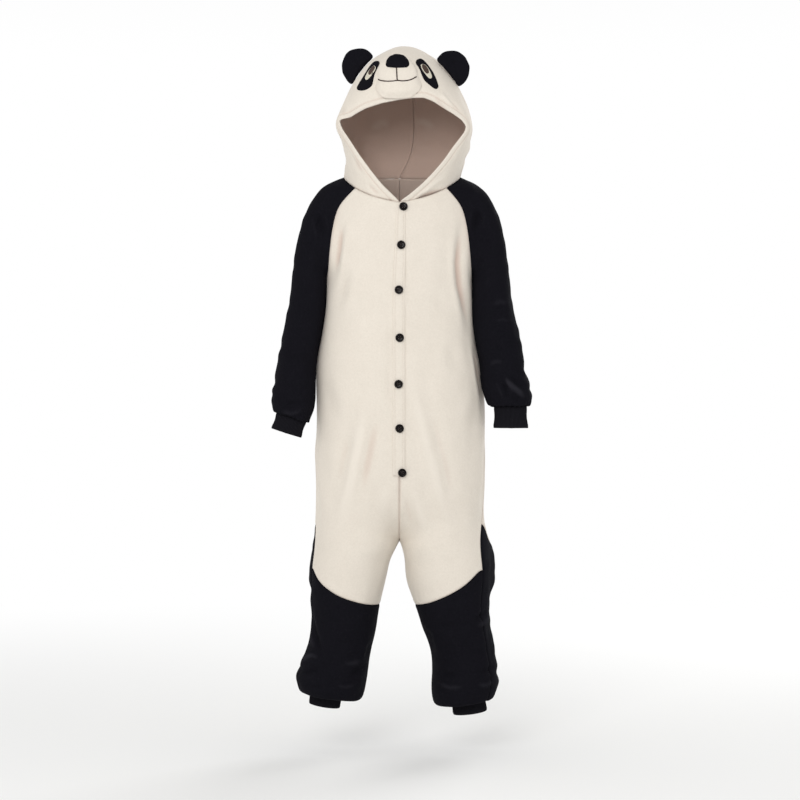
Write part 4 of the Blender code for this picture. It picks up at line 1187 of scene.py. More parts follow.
class Cloth:
    """A set of cut pieces that are folded as one cloth and then cut apart."""

    WELD = 0.9 * MM

    def __init__(self, room: Workroom, cuts: tuple[Cut, ...], levels: int) -> None:
        """Joins the outer faces of the cuts along their seams and smooths them.

        Args:
            room: the workroom.
            cuts: the cut pieces.
            levels: how often the cells are halved.
        """
        self.room, self.cuts = room, cuts
        pieces = []
        for number, cut in enumerate(cuts):
            piece = Pattern.outer_face(room.nodes[cut.node], cut.wall)
            for other in cuts:
                piece.data.materials.append(bpy.data.materials.get(other.node) or bpy.data.materials.new(other.node))
            piece.data.polygons.foreach_set("material_index", [number] * len(piece.data.polygons))
            pieces.append(piece)
        Bench.take(*pieces)
        bpy.ops.object.join()
        self.whole = pieces[0]
        with Bench.editing(self.whole):
            bpy.ops.mesh.remove_doubles(threshold=self.WELD)
        Bench.smooth(self.whole, levels)
        self.points, self.normals = Bench.points(self.whole), Bench.normals(self.whole)
        self.lift = np.zeros(len(self.points))
        self.read_edges()

    def read_edges(self) -> None:
        """Finds which points lie on seams and which on free edges, and which pieces each point is in."""
        form = bmesh.new()
        form.from_mesh(self.whole.data)
        seams, rims = set(), set()
        self.owner = np.zeros(len(self.points), int)
        for face in form.faces:
            for vert in face.verts:
                self.owner[vert.index] = face.material_index
        for edge in form.edges:
            ends = (edge.verts[0].index, edge.verts[1].index)
            if edge.is_boundary:
                rims.update(ends)
            elif edge.link_faces[0].material_index != edge.link_faces[1].material_index:
                seams.update(ends)
        form.free()
        self.seams, self.rims = np.array(sorted(seams)), np.array(sorted(rims))

    def settle(self, crease: Points, ridge: Points) -> None:
        """Lifts the cloth by what its folds add up to and marks its painted shade and painted highlights for the
        material.

        Args:
            crease: how much painted shade each point has, from 0 to 1.
            ridge: how much painted highlight each point has, from 0 to 1.
        """
        Bench.move(self.whole, self.points + self.normals * (self.lift * MM)[:, None])
        for name, values in (("crease", crease), ("ridge", ridge)):
            Bench.mark(self.whole, np.clip(values, 0, 0.6), name)

    def mask(self, test: Callable[[Cut], bool]) -> Points:
        """Which points are in the cut pieces that pass a test."""
        return np.array([test(cut) for cut in self.cuts])[self.owner]

    def cut_apart(self) -> list[tuple[Cut, Piece]]:
        """The cloth's pieces, each its own object again, with their cuts.

        Returns:
            Each cut with its piece.
        """
        Bench.take(self.whole)
        before = set(bpy.data.objects)
        bpy.ops.mesh.separate(type="MATERIAL")
        parts = [self.whole] + [o for o in bpy.data.objects if o not in before]
        found = []
        for part in parts:
            faces = part.data.polygons
            name = part.material_slots[faces[0].material_index].name
            found.append((next(cut for cut in self.cuts if cut.node == name), part))
            faces.foreach_set("material_index", [0] * len(faces))
            part.data.attributes.active = None
        return found


@dataclass
class Suit:
    """The body of the suit: fronts, backs, legs and sleeves, folded as one cloth."""

    room: Workroom
    levels: int = 3
    thickness: float = 2.2
    sleeve_blend: float = 9.0
    wrinkle_blend: tuple[float, float] = (2.0, 30.0)
    strip_middle: float = -1.0
    strip_half: float = 11.0
    strip_end: tuple[float, float] = (600.0, 625.0)
    pressed_damping: float = 0.85
    neck_height: float = -0.06
    shade_depth: float = 0.14
    shade_reach: float = 12.0
    gather_reach: float = 13.0
    gather_height: float = 0.9
    gather_count: int = 23
    clear: float = 0.6
    full_press: float = 4.0
    wrist_zone: tuple[float, float] = (-0.45, 0.15)
    wrist_inner: tuple[float, float] = (-0.004, 0.022)

    def build(self) -> None:
        """Joins, folds, cuts apart and thickens the suit's pieces."""
        cloth = Cloth(self.room, SUIT_CUTS, self.levels)
        in_sleeve = cloth.mask(lambda cut: "sleeve" in cut.node)
        self.press_sleeves(cloth, in_sleeve)
        points, normals = cloth.points, cloth.normals
        away = Bench.distances(points, points[cloth.seams])
        sleeve = in_sleeve * smoothstep(0, self.sleeve_blend, away)
        black = cloth.mask(lambda cut: cut.finish is Finish.BLACK) * smoothstep(*self.wrinkle_blend, away)
        folds = Drape.folds(points, normals, TORSO_FOLDS) * (1 - sleeve)
        folds += Drape.folds(points, normals, SLEEVE_FOLDS) * sleeve
        folds += Drape.folds(points, normals, LEG_FOLDS) * (1 - sleeve)
        folds *= self.beside_strip(points, normals)
        cloth.lift += folds + Drape.folds(points, normals, LEG_BULGES)
        cloth.lift += Drape.swell(points, 62.0, 0.55, (1.0, 1.0, 2.6))
        cloth.lift += Drape.swell(points, 34.0, 0.5, (1.8, 1.8, 1.0)) * black
        cloth.lift += Drape.seam(away, 1.15, 0.45) + self.gathers(cloth)
        cloth.lift *= 1 - self.pressed_damping * self.pressed
        # Painted shade in the fold troughs and along the seams, fainter on the back, and behind the sleeves; painted
        # highlights on the fold ridges
        front = 0.3 + 0.7 * smoothstep(-0.1, 0.5, -normals[:, 1])
        crease = np.clip(-(folds + 2.0) / 9.0, 0, 0.5) * front + 0.20 * bell(away, 2.2)
        cloth.settle(crease + self.shade_behind_sleeve(cloth, in_sleeve), (folds - 0.8) / 5.0)
        self.neck = points[cloth.rims][points[cloth.rims][:, 2] > self.neck_height]
        for cut, piece in cloth.cut_apart():
            outside = len(piece.data.vertices)
            Bench.thicken(piece, self.thickness)
            # Painted shade on the suit's inner face
            Hood.shade_inside(piece, outside, self.neck, 0.5)
            self.room.dress_cut(piece, cut, "cloth")

    def beside_strip(self, points: Points, normals: Points) -> Points:
        """A mask that keeps the folds out from under the button strip.

        Args:
            points: the cloth's points, in metres.
            normals: their normals.

        Returns:
            For each point 0 under the strip, 1 away from it.
        """
        across = np.abs(points[:, 0] / MM - self.strip_middle)
        clear = smoothstep(self.strip_half, self.strip_half + 9, across)
        low = smoothstep(*self.strip_end, -points[:, 2] / MM)
        return np.where(normals[:, 1] < 0, np.maximum(clear, low), 1.0)

    def shade_behind_sleeve(self, cloth: Cloth, in_sleeve: Points) -> Points:
        """How much painted shade the body's cloth gets close behind a sleeve, where the sleeve shades it.

        Args:
            cloth: the suit's cloth.
            in_sleeve: which of its points are in a sleeve.

        Returns:
            A value for each point, from 0.
        """
        points = cloth.points
        sleeve = points[in_sleeve & (points[:, 2] < self.neck_height)][::3]
        mask = np.zeros(len(points))
        body = np.flatnonzero(~in_sleeve & (np.abs(points[:, 0]) > 0.09) & (points[:, 2] > -0.56))
        mask[body] = self.shade_depth * bell(Bench.distances(points[body], sleeve), self.shade_reach)
        return mask

    def press_sleeves(self, cloth: Cloth, in_sleeve: Points) -> None:
        """Presses the sleeves' inner sides towards the body, and stops just short of its cloth.

        Args:
            cloth: the suit's cloth.
            in_sleeve: which of its points are in a sleeve.
        """
        tree = Bench.surface(cloth.whole)
        rows = np.array(PRESSED, float)[::-1]
        self.pressed = np.zeros(len(cloth.points))
        rims = cloth.points[cloth.rims]
        hems = abs(rims[:, 2] - self.wrist_zone[0]) < self.wrist_zone[1]
        wrists = {side: rims[hems & (rims[:, 0] * side > 0)].mean(axis=0)[0] for side in (-1, 1)}
        for index in np.flatnonzero(in_sleeve):
            point = cloth.points[index]
            side = 1 if point[0] > 0 else -1
            press = np.interp(point[2] / MM, rows[:, 0], rows[:, 2 if side > 0 else 1])
            turned = smoothstep(0.1, 0.9, -side * cloth.normals[index][0])
            inner = smoothstep(*self.wrist_inner, side * (wrists[side] - point[0]))
            wanted = press * float(turned if press > 0 else inner)
            if point[2] > rows[-1][0] * MM or wanted == 0:
                continue
            way = Vector((-side, 0, 0))
            hit = tree.ray_cast(Vector(point) + way * 0.4 * MM, way)[3]
            room = math.inf if hit is None else max(0.0, hit / MM - self.clear)
            cloth.points[index][0] -= side * min(wanted, room) * MM
            self.pressed[index] = min(1.0, max(0.0, wanted / self.full_press))
        Bench.move(cloth.whole, cloth.points)
        cloth.normals = Bench.normals(cloth.whole)

    def gathers(self, cloth: Cloth) -> Points:
        """The small pleats where a sleeve or leg is gathered into its cuff.

        Args:
            cloth: the suit's cloth.

        Returns:
            The lift of each point, in millimetres.
        """
        points = cloth.points
        lift, rims = np.zeros(len(points)), points[cloth.rims]
        for low, high, side in ((-0.6, -0.3, -1), (-0.6, -0.3, 1), (-1.2, -0.9, -1), (-1.2, -0.9, 1)):
            ring = rims[(rims[:, 2] > low) & (rims[:, 2] < high) & (rims[:, 0] * side > 0)]
            centre = ring.mean(axis=0)
            around = np.arctan2(points[:, 1] - centre[1], points[:, 0] - centre[0])
            away = Bench.distances(points, ring)
            mine = (points[:, 0] * side > 0) & (away < 6 * self.gather_reach)
            pleats = np.cos(self.gather_count * around + 1.6 * np.sin(3 * around + side) + 0.9 * np.sin(5 * around))
            fade = bell(away, self.gather_reach) * smoothstep(0, 5, away)
            lift += np.where(mine, self.gather_height * pleats * fade, 0)
        return lift


@dataclass
class Cuffs:
    """The rib cuffs of the sleeves and legs."""

    room: Workroom
    thickness: float = 2.4
    rib_width: float = 3.0
    rib_height: float = 0.42
    flare: float = 1.3
    across_rib: int = 6
    rows: int = 14

    def build(self) -> None:
        """Builds each cuff as a ribbed band with a rounded hem."""
        for cut in CUFF_CUTS:
            ribs = round(cut.flat[0] / MM / self.rib_width)
            piece, around, share = self.band(cut, ribs * self.across_rib)
            normals, count = Bench.normals(piece), len(around)
            lift = self.rib_height * np.cos(ribs * around) * smoothstep(0, 0.15, share)
            lift -= 0.8 * bell(share, 0.07) + 0.5 * bell(1 - share, 0.08)
            if "wrist" in cut.node:
                lift += self.flare * (bell(share, 0.22) - 0.7 * bell(share - 0.55, 0.25))
            # Painted shade in the valleys between the ribs
            Bench.mark(piece, np.clip(0.4 - 0.5 * np.cos(ribs * around), 0, 0.8))
            Bench.thicken(piece, self.thickness)
            ribbed = Bench.points(piece)
            ribbed[:count] += normals * (lift * MM)[:, None]
            Bench.move(piece, ribbed)
            Bench.shade(piece)
            self.room.dress_cut(piece, cut, "rib")

    def band(self, cut: Cut, columns: int) -> tuple[Piece, Points, Points]:
        """A fine even grid laid on a cuff's smoothed face.

        Args:
            cut: the cuff.
            columns: how many cells go round.

        Returns:
            The band, and for each of its points the angle round it and the share of the way up it.
        """
        rough = Pattern.outer_face(self.room.nodes[cut.node], cut.wall)
        Bench.smooth(rough, 3)
        tree = Bench.surface(rough)
        rings = sorted(self.rings(rough), key=lambda ring: ring[:, 2].mean())
        turns = np.arange(columns) / columns * 2 * math.pi - math.pi
        low, high = (self.spread(ring, turns) for ring in rings)
        points, around, share = [], [], []
        for row in range(self.rows + 1):
            t = row / self.rows
            for spot, turn in zip(low + (high - low) * t, turns):
                on = spot if row in (0, self.rows) else tree.find_nearest(Vector(spot))[0]
                points.append(tuple(on))
                around.append(turn)
                share.append(t)
        bpy.data.objects.remove(rough)
        band = Bench.sheet(cut.node, points, Bench.grid(self.rows, columns))
        return band, np.array(around), np.array(share)

    @staticmethod
    def rings(piece: Piece) -> list[Points]:
        """The points of each free edge of a tube.

        Args:
            piece: the tube.

        Returns:
            The points of one ring after the other.
        """
        form = bmesh.new()
        form.from_mesh(piece.data)
        left = {v for v in form.verts if v.is_boundary}
        rings = []
        while left:
            ring, queue = set(), [next(iter(left))]
            while queue:
                vert = queue.pop()
                ring.add(vert)
                for edge in vert.link_edges:
                    other = edge.other_vert(vert)
                    if edge.is_boundary and other not in ring:
                        queue.append(other)
            left -= ring
            rings.append(np.array([tuple(v.co) for v in ring]))
        form.free()
        return rings

    @staticmethod
    def spread(ring: Points, turns: Points) -> Points:
        """A ring's points at these angles round its middle.

        Args:
            ring: its points.
            turns: the angles, in radians.

        Returns:
            A place at each angle.
        """
        centre = ring.mean(axis=0)
        around = np.arctan2(ring[:, 1] - centre[1], ring[:, 0] - centre[0])
        order = np.argsort(around)
        return np.stack(
            [np.interp(turns, around[order], ring[order, k], period=2 * math.pi) for k in range(3)], axis=1
        )


@dataclass
class Hood:
    """The hood: its face panel and two back halves, with a turned hem round the face opening."""

    room: Workroom
    suit: Suit
    levels: int = 3
    thickness: float = 3.4
    thin_share: float = 0.6
    hem_width: float = 10.5
    edge_reach: float = 34.0
    rim_show: float = 1.4
    neck_gap: float = 3.0

    def build(self) -> None:
        """Joins, folds, hems, cuts apart and thickens the hood."""
        cloth = Cloth(self.room, HOOD_CUTS, self.levels)
        self.set_opening(cloth)
        points, normals = cloth.points, cloth.normals
        rims = points[cloth.rims]
        to_neck = Bench.distances(rims, self.suit.neck)
        neck, opening = rims[to_neck < self.neck_gap], rims[to_neck >= self.neck_gap]
        away = Bench.distances(points, points[cloth.seams])
        to_edge = Bench.distances(points, opening)
        to_neck = Bench.distances(points, neck)
        folds = Drape.folds(points, normals, HOOD_FOLDS)
        cloth.lift += folds * smoothstep(self.hem_width, self.hem_width + 10, to_edge)
        cloth.lift += Drape.swell(points, 58.0, 0.6, (1.0, 1.0, 1.3)) * smoothstep(4, 24, to_edge)
        cloth.lift += Drape.seam(away, 1.25, 0.5)
        cloth.lift += 0.8 * smoothstep(0, 2.5, to_edge) * (1 - smoothstep(8, self.hem_width, to_edge))
        cloth.lift -= 0.8 * bell(to_edge - self.hem_width, 1.7) + 0.7 * bell(to_edge, 1.5)
        cloth.lift -= 0.6 * bell(to_neck, 2.0)
        # Painted shade in the fold troughs, along the seams, at the hem's stitch line and at the neck seam; painted
        # highlights on the fold ridges
        front = 0.15 + 0.85 * smoothstep(-0.1, 0.5, -normals[:, 1])
        crease = np.clip(-(folds + 0.8) / 6.0, 0, 0.4) * front + 0.28 * bell(away, 2.2)
        crease += 0.22 * bell(to_edge - self.hem_width, 1.6)
        crease += 0.30 * bell(to_neck, 2.2)
        low = bell(to_neck, 2.0)
        cloth.points[:, 2] -= 1.6 * MM * low
        cloth.settle(crease, (folds - 0.8) / 5.0)
        self.surface = Bench.surface(cloth.whole)
        band = 1 - smoothstep(self.hem_width - 1, self.hem_width + 1, to_edge)
        group = cloth.whole.vertex_groups.new(name="hem")
        for index in np.flatnonzero(band > 0.01):
            group.add([int(index)], float(band[index]), "REPLACE")
        for cut, piece in cloth.cut_apart():
            outside = len(piece.data.vertices)
            Bench.thicken(piece, self.thickness, vertex_group="hem", thickness_vertex_group=self.thin_share)
            self.shade_inside(piece, outside, opening)
            self.room.dress_cut(piece, cut, "cloth")

    @staticmethod
    def shade_inside(piece: Piece, outside: int, opening: Points, least: float = 0.15) -> None:
        """Paints shade on a cloth's inner face, deeper further in, where it lies in its own shadow.

        Args:
            piece: the thickened piece.
            outside: how many of its points are on its outer face.
            opening: the points of the edge that the inner face is seen past.
            least: how deep the painted shade is at that edge.
        """
        marks = piece.data.attributes["crease"].data
        values = np.empty(len(marks))
        marks.foreach_get("value", values)
        away = Bench.distances(Bench.points(piece)[outside:], opening)
        values[outside:] = least + (0.65 - least) * smoothstep(4, 70, away)
        marks.foreach_set("value", values)

    def set_opening(self, cloth: Cloth) -> None:
        """Draws the edge of the face opening to its outline, and the cloth beside it along with it.

        Args:
            cloth: the hood's cloth.
        """
        rims = cloth.points[cloth.rims]
        edge = rims[Bench.distances(rims, self.suit.neck) >= self.neck_gap]
        outline = np.array(OPENING + OPENING[:1]) - OPENING_MIDDLE
        fine = np.concatenate([np.linspace(a, b, 24, endpoint=False) for a, b in zip(outline[:-1], outline[1:])])
        spots = Bench.seen(edge) - OPENING_MIDDLE
        reach = np.linalg.norm(spots, axis=1)
        wanted = Bench.reach_at(fine, np.arctan2(spots[:, 1], spots[:, 0])) + self.rim_show
        step = spots / reach[:, None] * (wanted - reach)[:, None]
        LOG.info("opening moved by %.1f mm at most", np.abs(wanted - reach).max())
        step *= smoothstep(0, 16, Bench.distances(edge, self.suit.neck))[:, None]
        tree = Bench.near(edge)
        for index, point in enumerate(cloth.points):
            found = tree.find_n(point, 5)
            away = found[0][2] / MM
            if away > self.edge_reach:
                continue
            weights = np.array([1 / (f[2] / MM + 0.4) for f in found])
            move = (step[[f[1] for f in found]] * weights[:, None]).sum(axis=0) / weights.sum()
            move *= 1 - float(smoothstep(0, self.edge_reach, np.array(away)))
            scale = (Studio.distance + point[1]) / Studio.distance
            cloth.points[index] += np.array([move[0], 0, move[1]]) * scale * MM
        Bench.move(cloth.whole, cloth.points)
        cloth.normals = Bench.normals(cloth.whole)


@dataclass
class Face:
    """What is sewn on the hood's face panel: muzzle, nose, eye patches and embroidery."""

    room: Workroom
    hood: Hood
    reach: float = 0.6
    around: int = 96
    rings: int = 14
    tuck: float = 1.1

    def build(self) -> None:
        """Builds the padded muzzle and nose, the patches, the eyes and the smile."""
        muzzle = self.pad("muzzle", "muzzle_pad", Finish.CREAM, MUZZLE_EDGE, 18.0, (1.5, 6.0))
        self.pad("nose", "nose_pad", Finish.BLACK, NOSE_EDGE, 2.5, (0.5, 0.5))
        self.line("philtrum_stitch", muzzle, ((-6.9, 221.0), (-6.6, 212.0), (-6.2, 204.0), (-5.4, 193.2)), 1.2)
        smile = (
            (-43.5, 198.6), (-39.7, 195.0), (-32.0, 193.0), (-24.8, 192.1), (-13.9, 191.9), (-5.4, 193.1),
            (5.0, 191.9), (12.5, 192.5), (19.9, 194.0), (26.5, 197.2), (32.8, 201.8),
        )
        self.line("smile_stitch", muzzle, smile, 1.15)
        for side, edge, white, iris, flat, area in (
            ("right", PATCH_RIGHT, WHITE_RIGHT, IRIS_RIGHT, (0.042, 0.092), 0.0026),
            ("left", PATCH_LEFT, WHITE_LEFT, IRIS_LEFT, (0.042, 0.084), 0.0021),
        ):
            node = f"eye_patch_{side}"
            felt, patch = self.sewn(f"{node}_felt", self.hood.surface, edge, Finish.BLACK, 1.5, 2.2, (node,))
            _, white_face = self.sewn(f"eye_white_{side}", patch, white, Finish.CREAM_SATIN, 0.5, 1.0)
            self.sewn(f"eye_brown_{side}", white_face, iris, Finish.BROWN_SATIN, 0.5, 1.0)

    def pad(
        self,
        node: str,
        name: str,
        finish: Finish,
        outline: Outline,
        blend: float,
        sink: tuple[float, float],
    ) -> BVHTree:
        """A stuffed piece that grows softly out of the cloth under it.

        Args:
            node: its CAD node.
            name: its name.
            finish: its finish.
            outline: its edge as seen from in front, in millimetres on the plane y = 0.
            blend: how far in from its edge it rises, in millimetres.
            sink: how far its edge goes down, at its foot and at its top, in millimetres.

        Returns:
            A search tree of its upper face.
        """
        piece = Pattern.outer_face(self.room.nodes[node], PAD_RIM)
        Bench.smooth(piece, 3)
        self.set_outline(piece, outline)
        points, normals = Bench.points(piece), Bench.normals(piece)
        edge = Bench.distances(points, Bench.rim(piece))
        height = (points[:, 2] - points[:, 2].min()) / np.ptp(points[:, 2])
        depth = sink[0] + (sink[1] - sink[0]) * smoothstep(0.15, 0.6, height)
        lift = -depth * (1 - smoothstep(0, blend, edge)) + Drape.swell(points, 30.0, 0.2, (1, 1, 1))
        Bench.move(piece, points + normals * (lift * MM)[:, None])
        # Painted shade along the lower edge of the pad
        Bench.mark(piece, 0.10 * bell(edge, 1.6) * (1 - smoothstep(0.2, 0.5, height)))
        surface = Bench.surface(piece)
        Bench.thicken(piece, 1.1)
        self.room.dress(piece, name, finish, (node,))
        return surface

    def set_outline(self, piece: Piece, outline: Outline) -> None:
        """Draws a pad's edge to its outline, and all of it in the same measure.

        Args:
            piece: the pad's upper face.
            outline: its edge as seen from in front.
        """
        points = Bench.points(piece)
        middle = np.array(outline).mean(axis=0)
        rim = Bench.seen(Bench.rim(piece)) - middle
        fine = self.rounded(outline) - middle
        fine += fine / np.linalg.norm(fine, axis=1)[:, None] * self.tuck
        spots = Bench.seen(points) - middle
        turns = np.arctan2(spots[:, 1], spots[:, 0])
        share = Bench.reach_at(fine, turns) / Bench.reach_at(rim, turns)
        LOG.info("%s: edge drawn to %.2f to %.2f of its size", piece.name, share.min(), share.max())
        step = spots * (share - 1)[:, None]
        scale = (Studio.distance + points[:, 1]) / Studio.distance
        points[:, 0] += step[:, 0] * scale * MM
        points[:, 2] += step[:, 1] * scale * MM
        Bench.move(piece, points)

    def rounded(self, outline: Outline) -> Points:
        """A smooth closed line through these points, evenly stepped.

        Args:
            outline: the points.

        Returns:
            The line's points.
        """
        keys = np.array(outline)
        before, after, beyond = (np.roll(keys, k, axis=0) for k in (1, -1, -2))
        t = np.linspace(0, 1, 16, endpoint=False)[:, None, None]
        curve = 0.5 * (
            2 * keys
            + (after - before) * t
            + (2 * before - 5 * keys + 4 * after - beyond) * t**2
            + (3 * keys - before - 3 * after + beyond) * t**3
        )
        line = curve.transpose(1, 0, 2).reshape(-1, 2)
        closed = np.concatenate([line, line[:1]])
        run = np.concatenate([[0], np.cumsum(np.linalg.norm(np.diff(closed, axis=0), axis=1))])
        at = np.linspace(0, run[-1], self.around, endpoint=False)
        return np.stack([np.interp(at, run, closed[:, k]) for k in (0, 1)], axis=1)

    def sewn(
        self,
        name: str,
        surface: BVHTree,
        outline: Outline,
        finish: Finish,
        height: float,
        edge: float,
        replaced: tuple[str, ...] = (),
    ) -> tuple[Piece, BVHTree]:
        """A flat piece sewn on: felt, or an area of satin stitch.

        Args:
            name: its name.
            surface: the face that it lies on.
            outline: its edge as seen from in front.
            finish: its finish.
            height: how far it stands up.
            edge: how wide its rounded edge is.
            replaced: the CAD nodes that it stands for.

        Returns:
            The piece and a search tree of its upper face.
        """
        line = self.rounded(outline)
        middle = line.mean(axis=0)
        points, count = [], self.around
        for ring in range(self.rings):
            share = 1 - (ring / self.rings) ** 1.35
            for spot in middle + (line - middle) * share:
                inside = np.linalg.norm(line - spot, axis=1).min()
                rise = height * math.sqrt(max(0.0, 1 - (1 - min(1.0, inside / edge)) ** 2)) - 0.2
                place, normal = Bench.sight(surface, *spot)
                points.append(place + normal * (rise * MM))
        place, normal = Bench.sight(surface, *middle)
        points.append(place + normal * ((height - 0.2) * MM))
        last = (self.rings - 1) * count
        cells = Bench.grid(self.rings - 1, count)
        cells += [(last + c, last + (c + 1) % count, len(points) - 1) for c in range(count)]
        piece = Bench.sheet(name, points, cells)
        with Bench.editing(piece):
            bpy.ops.mesh.normals_make_consistent(inside=False)
        self.face_front(piece)
        face = Bench.surface(piece)
        Bench.thicken(piece, 0.9)
        Bench.shade(piece)
        self.room.dress(piece, name, finish, replaced)
        return piece, face

    def on(self, surface: BVHTree, x: float, z: float) -> Place:
        """Where a line from straight in front meets a surface, with the normal there.

        Args:
            surface: the surface's search tree.
            x: the place across, in millimetres.
            z: its height, in millimetres.

        Returns:
            The place that it meets, and the normal.
        """
        place, normal, _, _ = surface.ray_cast(Vector((x * MM, -self.reach, z * MM)), Vector((0, 1, 0)))
        if place is None:
            place, normal, _, _ = surface.find_nearest(Vector((x * MM, -0.12, z * MM)))
        return place, Bench.forward(normal)

    @staticmethod
    def face_front(piece: Piece) -> None:
        """Turns a sheet's faces to the front where they look back."""
        if Bench.normals(piece)[:, 1].mean() > 0:
            with Bench.editing(piece):
                bpy.ops.mesh.flip_normals()

    def line(self, name: str, surface: BVHTree, route: Outline, radius: float) -> None:
        """An embroidered line, a thick thread on the cloth.

        Args:
            name: its name.
            surface: the cloth's face.
            route: the places it passes, in millimetres.
            radius: half its width.
        """
        keys = np.array(route)
        steps = np.concatenate([[0], np.cumsum(np.linalg.norm(np.diff(keys, axis=0), axis=1))])
        fine = np.linspace(0, steps[-1], max(8, int(steps[-1] / 1.2)))
        xs, zs = (np.interp(fine, steps, keys[:, k]) for k in (0, 1))
        for _ in range(3):
            xs[1:-1], zs[1:-1] = ((a[:-2] + 2 * a[1:-1] + a[2:]) / 4 for a in (xs, zs))
        curve = bpy.data.curves.new(name, "CURVE")
        curve.dimensions = "3D"
        curve.bevel_depth, curve.bevel_resolution, curve.use_fill_caps = radius * MM, 3, True
        spline = curve.splines.new("POLY")
        spline.points.add(len(xs) - 1)
        for i, (x, z) in enumerate(zip(xs, zs)):
            place, normal = self.on(surface, x, z)
            spline.points[i].co = (*(place + normal * (0.15 * radius * MM)), 1)
            spline.points[i].radius = 1.0 if 0 < i < len(xs) - 1 else 0.6
        piece = Bench.place(name, curve)
        Bench.take(piece)
        bpy.ops.object.convert(target="MESH")
        piece = bpy.context.active_object
        bpy.ops.object.shade_smooth()
        self.room.dress(piece, name, Finish.BROWN_THREAD)


@dataclass
class Ears:
    """The two stuffed ears, each with a seam round its rim."""

    room: Workroom
    levels: int = 3

    def build(self) -> None:
        """Builds each ear from its CAD form, with a seam groove round its rim and a gentle unevenness."""
        for node in ("ear_right", "ear_left"):
            piece = Pattern.copy(self.room.nodes[node], f"{node}_pad")
            with Bench.editing(piece):
                bpy.ops.mesh.tris_convert_to_quads(face_threshold=Pattern.QUADS, shape_threshold=Pattern.QUADS)
            Bench.smooth(piece, self.levels)
            points, normals = Bench.points(piece), Bench.normals(piece)
            centre = points.mean(axis=0)
            spread = points - centre
            thin = np.linalg.svd(spread[::17], full_matrices=False)[2][2]
            depth = np.abs(spread @ thin) / MM
            flat = spread - np.outer(spread @ thin, thin)
            reach = np.linalg.norm(flat, axis=1) / MM
            rim = bell(depth, 1.1) * smoothstep(0.7 * reach.max(), 0.9 * reach.max(), reach)
            lift = -0.8 * rim + Drape.swell(points, 26.0, 0.45, (1, 1, 1))
            Bench.move(piece, points + normals * (lift * MM)[:, None])
            # Painted shade in the seam groove round the rim
            Bench.mark(piece, 0.5 * rim)
            self.room.dress(piece, f"{node}_pad", Finish.BLACK, (node,))


